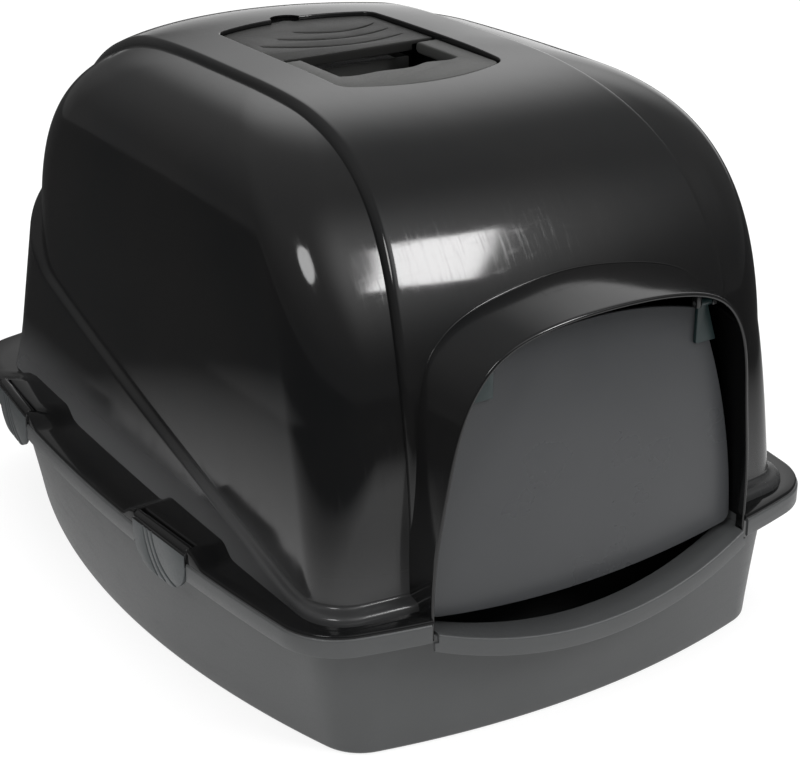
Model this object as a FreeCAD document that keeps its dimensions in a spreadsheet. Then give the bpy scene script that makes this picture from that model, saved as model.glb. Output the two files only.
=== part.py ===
import FreeCAD, Part
import Sketcher
import math
import os

# Hooded litter box: a tray with a dipped doorway, a domed hood with a visor, a swinging flap,
# a top panel with a carry handle and a filter cover, and four side latches.
# Frame: +Z up, the doorway faces -Y, the origin is on the floor under the middle of the rim.

# Driving dimensions in millimetres, angles in degrees, powers without a unit.
SIZES = {
    # Rim outline, shared by the tray's rim and the hood's flange
    "rim_half_width": 245.0,
    "rim_half_length": 330.0,
    "rim_side_bow": 19.0,
    "rim_end_bow": 23.0,
    "rim_corner": 51.0,
    "rim_rear_corner": 58.0,
    # Tray
    "tray_foot_front_half_width": 191.0,
    "tray_foot_rear_half_width": 192.0,
    "tray_foot_front": 305.0,
    "tray_foot_rear": 300.0,
    "tray_foot_side_bow": 36.0,
    "tray_foot_end_bow": 19.0,
    "tray_foot_corner": 37.0,
    "tray_foot_rear_corner": 70.0,
    "tray_height": 110.0,
    "tray_wall": 2.6,
    "tray_foot_round": 3.0,
    "rim_overhang": 22.0,
    "rim_thickness": 2.6,
    "skirt_drop": 14.0,
    "skirt_thickness": 2.4,
    "sill_dip": 33.0,
    "sill_end_dip": 7.0,
    # Hood
    "hood_front_half_width": 198.0,
    "hood_rear_half_width": 193.0,
    "hood_front": 294.0,
    "hood_rear": 272.0,
    "hood_side_bow": 4.0,
    "hood_front_bow": 11.0,
    "hood_rear_bow": 20.0,
    "hood_front_corner": 49.0,
    "hood_rear_corner": 88.0,
    "rear_corner_gain": 60.0,
    "hood_rise": 301.0,
    "hood_flare": 3.0,
    "corner_flare": 22.0,
    "side_power": 7.0,
    "front_power": 3.3,
    "rear_power": 5.1,
    "corner_power": 0.35,
    "hood_wall": 2.6,
    "flange_thickness": 2.6,
    "flange_inset": 1.2,
    "band_rise": 5.0,
    "band_half_width": 138.8,
    "band_top_half_width": 114.5,
    "skirting_front_half_width": 206.0,
    "skirting_rear_half_width": 200.0,
    "skirting_front": 304.0,
    "skirting_rear": 284.0,
    "skirting_front_corner": 32.0,
    "skirting_rear_corner": 34.0,
    "skirting_foot_flare": 3.5,
    "skirting_foot_rise": 42.0,
    "skirting_head_rise": 210.0,
    "skirting_head_inset": 6.0,
    "skirting_head_rear": 274.0,
    "skirting_head_rear_corner": 100.0,
    "skirting_front_height": 9.0,
    "skirting_mid_height": 108.0,
    "skirting_rear_height": 202.0,
    # Visor and doorway
    "visor_half_width": 137.0,
    "visor_root_half_width": 141.5,
    "visor_reach": 314.0,
    "visor_lean": 13.0,
    "visor_root": 250.0,
    "visor_top": 311.0,
    "visor_root_top": 321.0,
    "visor_wall": 2.6,
    "visor_foot": 96.0,
    "leg_depth": 7.5,
    # Flap, its clips and pins
    "flap_thickness": 3.0,
    "flap_face": 302.6,
    "flap_foot_half_width": 132.2,
    "flap_waist_half_width": 120.2,
    "flap_head_half_width": 90.2,
    "flap_foot_height": 106.2,
    "flap_head_height": 282.0,
    "flap_foot_dip": 13.0,
    "flap_corner": 8.0,
    "flap_head_rise": 13.0,
    "hinge_height": 288.0,
    "hinge_depth": 306.4,
    "clip_inner": 85.8,
    "clip_head_width": 9.4,
    "clip_foot_width": 18.0,
    "clip_height": 31.0,
    "clip_thickness": 3.2,
    "clip_barrel_radius": 3.2,
    "ear_thickness": 4.0,
    "ear_depth": 6.0,
    "ear_gap": 0.4,
    "pin_radius": 1.5,
    "pin_setback": 1.4,
    # Top panel: well, handle, cover, holder and filter
    "lid_half_width": 69.0,
    "lid_front": 108.0,
    "lid_rear": 108.0,
    "lid_side_bow": 1.2,
    "lid_end_bow": 12.0,
    "lid_corner": 12.0,
    "lid_gap": 1.5,
    "lid_top": 412.2,
    "well_depth": 33.0,
    "handle_thickness": 9.0,
    "handle_arm": 17.0,
    "handle_bar": 44.0,
    "handle_wave": 2.5,
    "handle_pivot": 7.0,
    "cover_thickness": 3.2,
    "cover_pivot": 9.0,
    "cover_front": 2.0,
    "cover_lug": 7.0,
    "cover_lip": 8.0,
    "cover_lip_thickness": 2.4,
    "pivot_radius": 2.4,
    "pivot_reach": 3.6,
    "louvre_width": 4.5,
    "recess_radius": 13.0,
    "recess_depth": 6.0,
    "tongue_radius": 7.0,
    "holder_width": 116.0,
    "holder_length": 74.0,
    "holder_thickness": 3.0,
    "holder_height": 17.0,
    "holder_wall": 2.0,
    "holder_middle": 53.0,
    "holder_slot": 6.0,
    "holder_pitch": 11.0,
    "holder_edge": 9.0,
    "filter_thickness": 14.0,
    "filter_gap": 0.5,
    "filter_round": 4.0,
    # Latches and their seats
    "latch_front_place": 117.0,
    "latch_rear_place": 162.0,
    "latch_length": 73.0,
    "latch_foot": 83.0,
    "latch_thickness": 3.5,
    "latch_proud": 0.6,
    "latch_round": 24.0,
    "latch_pivot_depth": 5.0,
    "latch_pivot_height": 4.0,
    "latch_barrel_radius": 4.6,
    "latch_pin_radius": 2.4,
    "latch_pin_reach": 4.0,
    "hook_reach": 5.4,
    "hook_height": 4.0,
    "hook_length": 50.0,
    "groove_width": 1.4,
    "groove_depth": 0.7,
    "groove_pitch": 6.0,
    "groove_first": 48.0,
    "groove_aside": 26.0,
    "seat_rise": 8.0,
    "seat_length": 98.0,
    "seat_depth": 60.0,
    "seat_ramp": 12.0,
    # Clearances and overruns
    "running_fit": 0.06,
    "gap": 0.6,
    "seat_gap": 0.3,
    "overrun": 40.0,
}

# Levels of the dome, as shares of its rise.
DOME_LEVEL_SHARES = (0.0, 0.2, 0.4, 0.5, 0.60, 0.72, 0.81, 0.88, 0.93, 0.965, 0.985, 0.995, 0.999)
# Level that the flare of the hood's foot runs up to, as a share of its rise.
FLARE_SHARE = 0.43
# Largest corner of the dome's plan, as a share of the half width or reach beside it.
CORNER_LIMIT_SHARE = 0.75
# Line of the raised skirting seen from the side, as shares of the hood's reach to the front and to the rear.
LINE_START_SHARE = 0.84
LINE_TURN_SHARE = 0.65
LINE_STOP_SHARE = 1.03
# Half of the visor's arch, from its foot to its top, as shares of its half width and of its rise.
FRONT_ARCH_SHARES = ((1.0, 0.0), (0.995, 0.2), (0.92, 0.53), (0.825, 0.80), (0.70, 0.91),
                     (0.42, 0.98), (0.0, 1.0))
ROOT_ARCH_SHARES = ((1.0, 0.0), (1.015, 0.3), (1.01, 0.55), (0.955, 0.735), (0.876, 0.842), (0.787, 0.888),
                    (0.593, 0.943), (0.35, 0.978), (0.0, 1.0))
# Louvres: left end, low point and right end, as shares of the cover's half width and length.
LOUVRE_SHARES = (
    ((-0.18, 0.66), (0.28, 0.51), (0.84, 0.62)),
    ((-0.50, 0.53), (0.14, 0.33), (0.84, 0.42)),
    ((-0.82, 0.40), (-0.02, 0.14), (0.84, 0.22)),
)
# Finger waves on the handle's inner edge: places across it, and heights as shares of the wave.
WAVE_SHARES = ((-1.0, 1.0), (-0.7, -0.4), (-0.4, 0.2), (-0.1, -0.6), (0.2, -0.4), (0.45, 1.6),
               (0.72, 0.6), (1.0, 2.0))

doc = FreeCAD.newDocument("litter_box")
sheet = doc.addObject("Spreadsheet::Sheet", "Sizes")
for row, (alias, value) in enumerate(SIZES.items(), start=1):
    sheet.set(f"A{row}", alias)
    sheet.set(f"B{row}", str(value))
    sheet.setAlias(f"B{row}", alias)
doc.recompute()


class Dims:
    """Reads a driving dimension from the sheet by its name."""

    def __getattr__(self, alias):
        return float(sheet.get(alias))


d = Dims()
parts = []


def vec(x, y, z):
    return FreeCAD.Vector(x, y, z)


# Plans: bowed four-sided outlines with round corners, alike on the left and the right

class Plan:
    """Half widths at the corners, reaches along Y, bows of the sides, and corner radii."""

    def __init__(self, front_half, rear_half, front, rear, side_bow, front_bow, rear_bow,
                 front_corner, rear_corner):
        self.front_half = front_half
        self.rear_half = rear_half
        self.front = front
        self.rear = rear
        self.side_bow = side_bow
        self.front_bow = front_bow
        self.rear_bow = rear_bow
        self.front_corner = front_corner
        self.rear_corner = rear_corner

    def grown(self, by):
        return Plan(self.front_half + by, self.rear_half + by, self.front + by, self.rear + by,
                    self.side_bow, self.front_bow, self.rear_bow,
                    self.front_corner + by, self.rear_corner + by)

    def between(self, other, share):
        """Plan that lies at a share of the way to another."""
        names = ("front_half", "rear_half", "front", "rear", "side_bow", "front_bow", "rear_bow",
                 "front_corner", "rear_corner")
        ends = [(getattr(self, name), getattr(other, name)) for name in names]
        return Plan(*[a + (b - a) * share for a, b in ends])

    def corners(self):
        """Centres of the front and rear corners on the right."""
        front = vec(self.front_half - self.front_corner, self.front_corner + self.front_bow - self.front, 0)
        rear = vec(self.rear_half - self.rear_corner, self.rear - self.rear_bow - self.rear_corner, 0)
        return front, rear

    def side_circle(self):
        """Centre and radius of the right-hand side: the large arc round both corner circles."""
        front, rear = self.corners()
        chord = rear - front
        span = chord.Length
        radius = (span ** 2 / 4 + self.side_bow ** 2) / (2 * self.side_bow)
        radius += (self.front_corner + self.rear_corner) / 2
        to_front = radius - self.front_corner
        to_rear = radius - self.rear_corner
        along = (to_front ** 2 - to_rear ** 2 + span ** 2) / (2 * span)
        across = math.sqrt(to_front ** 2 - along ** 2)
        unit = chord / span
        return front + unit * along + vec(-unit.y, unit.x, 0) * across, radius

    def end_circle(self, corner, bow, corner_radius):
        """Radius of the arc that closes the front or the rear."""
        return (corner.x ** 2 + bow ** 2) / (2 * bow) + corner_radius

    def wire(self, z):
        front, rear = self.corners()
        side, side_radius = self.side_circle()
        front_radius = self.end_circle(front, self.front_bow, self.front_corner)
        rear_radius = self.end_circle(rear, self.rear_bow, self.rear_corner)
        front_y = front_radius - self.front
        rear_y = self.rear - rear_radius
        side_front = math.atan2(front.y - side.y, front.x - side.x)
        side_rear = math.atan2(rear.y - side.y, rear.x - side.x)
        rear_turn = math.atan2(rear.y - rear_y, rear.x)
        front_turn = math.atan2(front.y - front_y, front.x)
        half = math.pi
        arcs = (
            (side.x, side.y, side_radius, side_front, side_rear),
            (rear.x, rear.y, self.rear_corner, side_rear, rear_turn),
            (0.0, rear_y, rear_radius, rear_turn, half - rear_turn),
            (-rear.x, rear.y, self.rear_corner, half - rear_turn, half - side_rear),
            (-side.x, side.y, side_radius, half - side_rear, half - side_front),
            (-front.x, front.y, self.front_corner, half - side_front, half - front_turn),
            (0.0, front_y, front_radius, half - front_turn, 2 * half + front_turn),
            (front.x, front.y, self.front_corner, 2 * half + front_turn, 2 * half + side_front),
        )
        edges = []
        for x, y, radius, start, stop in arcs:
            turns = (start, (start + stop) / 2, stop)
            ends = [vec(x + radius * math.cos(a), y + radius * math.sin(a), z) for a in turns]
            edges.append(Part.Arc(*ends).toShape())
        return Part.Wire(edges)

    def prism(self, low, high):
        return Part.Face(self.wire(low)).extrude(vec(0, 0, high - low))


def loft(wires, ruled=False):
    return Part.makeLoft(wires, True, ruled)


def block(low, high):
    """Box between two corners."""
    size = high - low
    return Part.makeBox(size.x, size.y, size.z, low)


def fused(shapes):
    return shapes[0].fuse(list(shapes[1:])).removeSplitter()


def mirrored(shape):
    return shape.mirror(vec(0, 0, 0), vec(1, 0, 0))


def keep(label, shape):
    """Adds a sub-part whose shape is made by Part's own functions."""
    feature = doc.addObject("Part::Feature", label)
    feature.Label = label
    feature.Shape = shape
    feature.Placement = FreeCAD.Placement()
    parts.append(feature)
    return feature


rim_corner_half = d.rim_half_width - d.rim_side_bow
rim_plan = Plan(rim_corner_half, rim_corner_half, d.rim_half_length, d.rim_half_length,
                d.rim_side_bow, d.rim_end_bow, d.rim_end_bow, d.rim_corner, d.rim_rear_corner)
foot_plan = Plan(d.tray_foot_front_half_width, d.tray_foot_rear_half_width,
                 d.tray_foot_front, d.tray_foot_rear,
                 d.tray_foot_side_bow, d.tray_foot_end_bow, d.tray_foot_end_bow,
                 d.tray_foot_corner, d.tray_foot_rear_corner)
lid_plan = Plan(d.lid_half_width, d.lid_half_width, d.lid_front, d.lid_rear,
                d.lid_side_bow, d.lid_end_bow, d.lid_end_bow, d.lid_corner, d.lid_corner)
skirting_plan = Plan(d.skirting_front_half_width, d.skirting_rear_half_width,
                     d.skirting_front, d.skirting_rear,
                     d.hood_side_bow, d.hood_front_bow, d.hood_rear_bow,
                     d.skirting_front_corner, d.skirting_rear_corner)
skirting_head_plan = Plan(d.skirting_front_half_width - d.skirting_head_inset,
                          d.skirting_rear_half_width - d.skirting_head_inset,
                          d.skirting_front - d.skirting_head_inset, d.skirting_head_rear,
                          d.hood_side_bow, d.hood_front_bow, d.hood_rear_bow,
                          d.skirting_front_corner, d.skirting_head_rear_corner)
base = d.tray_height
flange_top = base + d.flange_thickness
leg_outer = d.visor_half_width
leg_inner = d.visor_half_width - d.visor_wall
far = d.rim_half_length + d.overrun
wide = d.rim_half_width + d.overrun


# Latch places: a local frame on the rim's side, X outward, Y along the side

def latch_frame(side, place):
    centre, radius = rim_plan.side_circle()
    turn = math.asin((place - centre.y) / radius)
    x = centre.x + radius * math.cos(turn)
    heading = turn if side > 0 else math.pi - turn
    spin = FreeCAD.Rotation(vec(0, 0, 1), math.degrees(heading))
    return FreeCAD.Placement(vec(side * x, place, 0), spin)


LATCHES = (
    ("latch_front_left", -1, -d.latch_front_place),
    ("latch_front_right", 1, -d.latch_front_place),
    ("latch_rear_left", -1, d.latch_rear_place),
    ("latch_rear_right", 1, d.latch_rear_place),
)


def at_latches(shape):
    """Copies of a shape, made in the latch frame, at the four latches."""
    copies = []
    for _, side, place in LATCHES:
        copy = shape.copy()
        copy.Placement = latch_frame(side, place)
        copies.append(copy)
    return copies


latch_half = d.latch_length / 2
latch_notch = latch_half + d.gap


# Tray

def sill_region(drop, thickness):
    """Slab that follows the rim's height over the front half: level, with a dip in the doorway."""
    top = base - drop
    end = top - d.sill_end_dip
    low = top - d.sill_dip
    ends = (vec(-leg_outer, -far, end), vec(0, -far, low), vec(leg_outer, -far, end))
    dip = Part.Arc(*ends).toShape()
    down = vec(0, 0, -thickness)
    edges = [dip, Part.makeLine(ends[2], ends[2] + down), dip.translated(down),
             Part.makeLine(ends[0] + down, ends[0])]
    doorway = Part.Face(Part.Wire(Part.__sortEdges__(edges))).extrude(vec(0, far, 0))
    slabs = [doorway]
    for side in (-1, 1):
        inner, outer = sorted((side * leg_outer, side * wide))
        slabs.append(block(vec(inner, -far, top - thickness), vec(outer, 0, top)))
    return fused(slabs)


def rim_slab(drop, thickness):
    top = base - drop
    rear = block(vec(-wide, 0, top - thickness), vec(wide, far, top))
    return fused([sill_region(drop, thickness), rear])


def tray_shape():
    top_plan = rim_plan.grown(-d.rim_overhang)
    rounds = []
    for share in (0.0, 0.5, 1.0):
        turn = share * math.pi / 2
        inset = d.tray_foot_round * (1 - math.sin(turn))
        rise = d.tray_foot_round * (1 - math.cos(turn))
        rounds.append(foot_plan.grown(-inset).wire(rise))
    foot = loft(rounds)
    wall = loft([foot_plan.wire(d.tray_foot_round), top_plan.wire(base)], ruled=True)
    inside = loft([foot_plan.grown(-d.tray_wall).wire(d.tray_wall),
                   top_plan.grown(-d.tray_wall).wire(base)], ruled=True)
    inside = fused([inside, top_plan.grown(-d.tray_wall).prism(base, base + d.overrun)])
    bowl = fused([foot, wall]).cut(inside)
    bowl = bowl.common(rim_slab(0.0, base + d.overrun))
    ring = rim_plan.prism(0.0, base).cut(inside)
    rim = ring.common(rim_slab(0.0, d.rim_thickness))
    edge = rim_plan.prism(0.0, base).cut(rim_plan.grown(-d.skirt_thickness).prism(0.0, base))
    skirt = edge.common(rim_slab(0.0, d.skirt_drop))
    tray = fused([bowl, rim, skirt])
    tray = tray.cut(inside)
    notch = block(vec(-d.latch_thickness - d.gap, -latch_notch, base - d.skirt_drop - d.overrun),
                  vec(d.overrun, latch_notch, base + d.overrun))
    cuts = at_latches(notch)
    # The visor's legs stand a little wider at the back of their feet than at the front
    depth = d.visor_lean + d.leg_depth + d.gap
    spread = (d.visor_root_half_width - leg_outer) * depth / (d.visor_reach + d.visor_lean - d.visor_root)
    for side in (-1, 1):
        inner, outer = sorted((side * (leg_inner - d.gap), side * (leg_outer + spread + d.gap)))
        cuts.append(block(vec(inner, -far, d.visor_foot - d.gap),
                          vec(outer, -d.visor_reach + d.leg_depth + d.gap, base + d.overrun)))
    return tray.cut(cuts).removeSplitter()


# Hood

def profile(level, power):
    """Share of the plan that is left at a level of the dome."""
    return (1 - level ** power) ** (1 / power)


def dome(grow, sink):
    """Domed solid on the hood's plan; sink lowers its base."""
    wires = []
    for level in DOME_LEVEL_SHARES:
        across = profile(level, d.side_power)
        ahead = profile(level, d.front_power)
        behind = profile(level, d.rear_power)
        front_share = min(across, ahead)
        rear_share = min(across, behind)
        flare = max(0.0, 1 - level / FLARE_SHARE)
        out = grow + d.hood_flare * flare
        front_half = (d.hood_front_half_width + out) * across
        rear_half = (d.hood_rear_half_width + grow) * across
        front = (d.hood_front + out) * ahead
        rear = (d.hood_rear + grow) * behind
        front_corner = (d.hood_front_corner + grow - d.corner_flare * flare) * front_share ** d.corner_power
        rear_corner = d.hood_rear_corner + grow + d.rear_corner_gain * level ** 4
        rear_corner = rear_corner * rear_share ** d.corner_power
        plan = Plan(front_half, rear_half, front, rear,
                    d.hood_side_bow * across, d.hood_front_bow * front_share, d.hood_rear_bow * rear_share,
                    min(front_corner, CORNER_LIMIT_SHARE * min(front_half, front)),
                    min(rear_corner, CORNER_LIMIT_SHARE * min(rear_half, rear)))
        height = base + (d.hood_rise + grow) * level
        wires.append(plan.wire(height - (sink if level == 0 else 0.0)))
    return loft(wires)


def band_region(inset):
    """Slab along Y under the central band: straight low down, narrower over the crown."""
    low = d.band_half_width - inset
    high = d.band_top_half_width - inset
    bend = base + d.hood_rise / 2
    crown = base + d.hood_rise
    top = crown + d.overrun
    middle = (bend + crown) / 2
    between = low - (low - high) / 4
    floor = base - d.overrun
    right = Part.Arc(vec(low, -far, bend), vec(between, -far, middle), vec(high, -far, crown)).toShape()
    left = Part.Arc(vec(-high, -far, crown), vec(-between, -far, middle), vec(-low, -far, bend)).toShape()
    edges = [
        Part.makeLine(vec(-low, -far, floor), vec(low, -far, floor)),
        Part.makeLine(vec(low, -far, floor), vec(low, -far, bend)),
        right,
        Part.makeLine(vec(high, -far, crown), vec(high, -far, top)),
        Part.makeLine(vec(high, -far, top), vec(-high, -far, top)),
        Part.makeLine(vec(-high, -far, top), vec(-high, -far, crown)),
        left,
        Part.makeLine(vec(-low, -far, bend), vec(-low, -far, floor)),
    ]
    return Part.Face(Part.Wire(edges)).extrude(vec(0, 2 * far, 0))


def skirting_region(inset):
    """Space under the rising line of the skirting, beside the band in front and right across behind."""
    start = -LINE_START_SHARE * d.hood_front
    turn = LINE_TURN_SHARE * d.hood_rear
    stop = LINE_STOP_SHARE * d.hood_rear
    low = base + d.skirting_front_height - inset
    middle = base + d.skirting_mid_height - inset
    high = base + d.skirting_rear_height - inset
    floor = base - d.overrun
    line = ((-far, low), (start, low), (turn, middle), (stop, high), (far, high))
    outline = ((-far, floor),) + line + ((far, floor),)
    points = [vec(-wide, y, z) for y, z in outline]
    under = Part.Face(Part.makePolygon(points + points[:1])).extrude(vec(2 * wide, 0, 0))
    inner = d.band_half_width + inset
    doorway = block(vec(-inner, -far, floor), vec(inner, 0, high + d.overrun))
    return under.cut(doorway)


def skirting(inset, sink):
    share = d.skirting_foot_rise / d.skirting_head_rise
    low = skirting_plan.grown(d.skirting_foot_flare - inset)
    middle = skirting_plan.between(skirting_head_plan, share).grown(-inset)
    high = skirting_head_plan.grown(-inset)
    knee = middle.wire(base + d.skirting_foot_rise)
    foot = loft([low.wire(base), knee], ruled=True)
    head = loft([knee, high.wire(base + d.skirting_head_rise)], ruled=True)
    body = fused([foot, head])
    if sink:
        body = body.fuse(low.prism(base - sink, base))
    return body


def hood_form(inset, sink):
    """Outside of the hood for inset zero, and its inside for an inset of one wall."""
    body = dome(-inset, sink)
    band = dome(d.band_rise - inset, sink).common(band_region(inset))
    return fused([body, band, skirting(inset, sink).common(skirting_region(inset))])


def arch(half_width, top, shares, y, sink):
    """Upright arch wire: a spline over the shares and back, on legs as long as the sink."""
    foot = d.visor_foot
    rise = top - foot
    right = [vec(half_width * x, y, foot + rise * z) for x, z in shares]
    left = [vec(-p.x, p.y, p.z) for p in right[-2::-1]]
    curve = Part.BSplineCurve()
    curve.interpolate(right + left)
    ends = [left[-1], right[0]]
    if sink:
        down = vec(0, 0, -sink)
        ends = [left[-1], left[-1] + down, right[0] + down, right[0]]
    return Part.Wire([curve.toShape()] + [Part.makeLine(p, q) for p, q in zip(ends, ends[1:])])


def visor_form(inset, overrun):
    """Visor block for inset zero; the doorway's tunnel for an inset of one wall and an overrun."""
    front = -d.visor_reach - d.visor_lean
    back = -d.visor_root
    root = arch(d.visor_root_half_width - inset, d.visor_root_top - inset, ROOT_ARCH_SHARES, back, overrun)
    face = arch(d.visor_half_width - inset, d.visor_top - inset, FRONT_ARCH_SHARES, front, overrun)
    if not overrun:
        return loft([root, face], ruled=True).cut(visor_trim())
    middle = loft([root, face], ruled=True)
    behind = Part.Face(root).extrude(vec(0, overrun, 0))
    ahead = Part.Face(face).extrude(vec(0, -overrun, 0))
    return fused([middle, behind, ahead])


def visor_trim():
    """Space in front of the visor's edge, which curves forward from the legs to the roof."""
    foot = -d.visor_reach
    head = foot - d.visor_lean
    low, high = d.visor_foot, d.visor_top
    middle = foot - d.visor_lean / 4
    between = vec(-wide, middle, (low + high) / 2)
    curve = Part.Arc(vec(-wide, foot, low), between, vec(-wide, head, high)).toShape()
    ahead = head - d.overrun
    corners = [vec(-wide, y, z) for y, z in ((head, high), (ahead, high), (ahead, low), (foot, low))]
    edges = [curve] + [Part.makeLine(p, q) for p, q in zip(corners, corners[1:])]
    return Part.Face(Part.Wire(edges)).extrude(vec(2 * wide, 0, 0))


def seat_shape():
    """Raised latch seat with ramped ends, from inside the hood's wall to the rim's edge."""
    half = d.seat_length / 2
    flat = half - d.seat_ramp
    top = flange_top + d.seat_rise
    inner = -d.seat_depth
    points = [vec(inner, -half, base), vec(inner, -half, flange_top), vec(inner, -flat, top),
              vec(inner, flat, top), vec(inner, half, flange_top), vec(inner, half, base)]
    face = Part.Face(Part.makePolygon(points + points[:1]))
    return face.extrude(vec(-inner - d.flange_inset, 0, 0))


def latch_cut():
    """Notch for a latch in its seat, with the holes for its pivot."""
    depth = d.latch_pivot_depth + d.latch_barrel_radius + d.gap
    notch = block(vec(-depth, -latch_notch, base - d.overrun),
                  vec(d.overrun, latch_notch, flange_top + d.overrun))
    reach = latch_half + d.latch_pin_reach + d.gap
    start = vec(-d.latch_pivot_depth, -reach, flange_top + d.latch_pivot_height)
    pivot = Part.makeCylinder(d.latch_pin_radius + d.running_fit, 2 * reach, start, vec(0, 1, 0))
    return notch.fuse(pivot)


def ear_places():
    """Inner faces, along X, of the two ears beside a flap clip."""
    return (d.clip_inner - d.ear_gap - d.ear_thickness, d.clip_inner + d.clip_head_width + d.ear_gap)


def ear_shapes(roof):
    """Ears under the visor's roof, trimmed to it, with the pin's bore."""
    ears = []
    for side in (-1, 1):
        for place in ear_places():
            inner, outer = sorted((side * place, side * (place + d.ear_thickness)))
            ear = block(vec(inner, -d.hinge_depth - d.ear_depth / 2, d.hinge_height - d.ear_depth / 2),
                        vec(outer, -d.hinge_depth + d.ear_depth / 2, d.visor_root_top))
            bore = Part.makeCylinder(d.pin_radius + d.running_fit, 2 * wide,
                                     vec(-wide, -d.hinge_depth, d.hinge_height), vec(1, 0, 0))
            ears.append(ear.common(roof).cut(bore))
    return ears


well_floor = d.lid_top - d.well_depth


def hood_shape():
    outside = hood_form(0.0, 0.0)
    inside = hood_form(d.hood_wall, d.overrun)
    flange = rim_plan.grown(-d.flange_inset).prism(base, flange_top)
    roof = visor_form(0.0, 0.0)
    # The visor's legs stand on the rim, and only their front edges reach down over the skirt
    step = block(vec(-wide, -d.visor_reach + d.leg_depth, 0.0), vec(wide, far, base + d.gap))
    visor = roof.cut(step)
    hood = fused([outside, flange, visor] + at_latches(seat_shape()))
    hood = hood.cut(inside)
    hood = hood.cut(visor_form(d.visor_wall, d.overrun))
    trim = block(vec(-wide, -d.visor_reach, 0.0), vec(wide, far, base))
    front_trim = trim.cut(block(vec(-wide, -far, 0.0), vec(wide, -d.visor_reach + d.leg_depth, base)))
    hood = hood.cut(front_trim)
    # Well for the top panel, hung under the crown
    opening = lid_plan.grown(d.lid_gap)
    crown = base + d.hood_rise + d.overrun
    shaft = opening.grown(d.hood_wall).prism(well_floor - d.hood_wall, crown)
    # Finger recess behind the cover's rear edge, in a boss under the crown
    low = d.lid_top - d.recess_depth
    boss = Part.makeCylinder(d.recess_radius + d.hood_wall, crown - low + d.hood_wall,
                             vec(0, d.lid_rear, low - d.hood_wall))
    hood = fused([hood, shaft.common(outside), boss.common(outside)])
    recess = Part.makeCylinder(d.recess_radius, crown - low, vec(0, d.lid_rear, low))
    hood = hood.cut([opening.prism(well_floor, crown), recess])
    across = d.holder_width / 2 - d.holder_edge
    along = d.holder_length / 2 - d.holder_edge
    hole = block(vec(-across, d.holder_middle - along, well_floor - d.overrun),
                 vec(across, d.holder_middle + along, well_floor + d.overrun))
    cuts = [hole] + at_latches(latch_cut())
    reach = d.lid_half_width + d.lid_gap + d.pivot_reach
    for place, height in ((-d.handle_pivot, handle_axis), (d.cover_pivot, cover_axis)):
        cuts.append(Part.makeCylinder(d.pivot_radius + d.running_fit, 2 * reach, vec(-reach, place, height),
                                      vec(1, 0, 0)))
    hood = hood.cut(cuts)
    return fused([hood] + ear_shapes(roof))


handle_axis = d.lid_top - d.handle_thickness / 2
cover_axis = d.lid_top - d.cover_thickness - d.pivot_radius - d.gap


# Top panel pieces

def handle_shape():
    """U-shaped bar: two arms to the pivots and a front bar with finger waves."""
    low = d.lid_top - d.handle_thickness
    whole = lid_plan.prism(low, d.lid_top)
    back = -d.handle_pivot + d.handle_thickness / 2
    front = -d.lid_front
    whole = whole.common(block(vec(-wide, -far, low), vec(wide, back, d.lid_top)))
    hollow = d.lid_half_width - d.handle_arm
    edge = front + d.handle_bar
    floor = low - d.overrun
    wave = Part.BSplineCurve()
    wave.interpolate([vec(x * hollow, edge + y * d.handle_wave, floor) for x, y in WAVE_SHARES])
    ends = (wave.StartPoint, wave.EndPoint)
    corners = (vec(hollow, far, floor), vec(-hollow, far, floor))
    sides = [Part.makeLine(ends[1], corners[0]), Part.makeLine(*corners), Part.makeLine(corners[1], ends[0])]
    hole = Part.Face(Part.Wire([wave.toShape()] + sides))
    bar = whole.cut(hole.extrude(vec(0, 0, d.handle_thickness + 2 * d.overrun)))
    reach = d.lid_half_width + d.pivot_reach
    inner = d.lid_half_width - d.handle_arm
    for side in (-1, 1):
        start = vec(side * inner, -d.handle_pivot, handle_axis)
        bar = bar.fuse(Part.makeCylinder(d.pivot_radius, reach - inner, start, vec(side, 0, 0)))
    # Round the arms' ends about the pivot
    reach_x = 2 * wide
    keep_round = Part.makeCylinder(d.handle_thickness / 2, reach_x, vec(-wide, -d.handle_pivot, handle_axis),
                                   vec(1, 0, 0))
    keep_front = block(vec(-wide, -far, 0.0), vec(wide, -d.handle_pivot, d.lid_top))
    return bar.common(keep_round.fuse(keep_front)).removeSplitter()


def louvre_cut(shares):
    """Curved slit through the cover: an arc swept to the louvre's width."""
    half = d.lid_half_width
    length = d.lid_rear - d.cover_front
    low = d.lid_top - d.cover_thickness - d.overrun
    inner = [vec(a * half, d.cover_front + b * length, low) for a, b in shares]
    shift = vec(0, d.louvre_width, 0)
    # The slit is widest at its left end
    outer = [inner[0] + shift, inner[1] + shift, inner[2] + shift / 4]
    edges = [Part.Arc(*inner).toShape(), Part.makeLine(inner[2], outer[2]),
             Part.Arc(*reversed(outer)).toShape(), Part.makeLine(outer[0], inner[0])]
    face = Part.Face(Part.Wire(edges))
    return face.extrude(vec(0, 0, d.cover_thickness + 2 * d.overrun))


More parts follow.
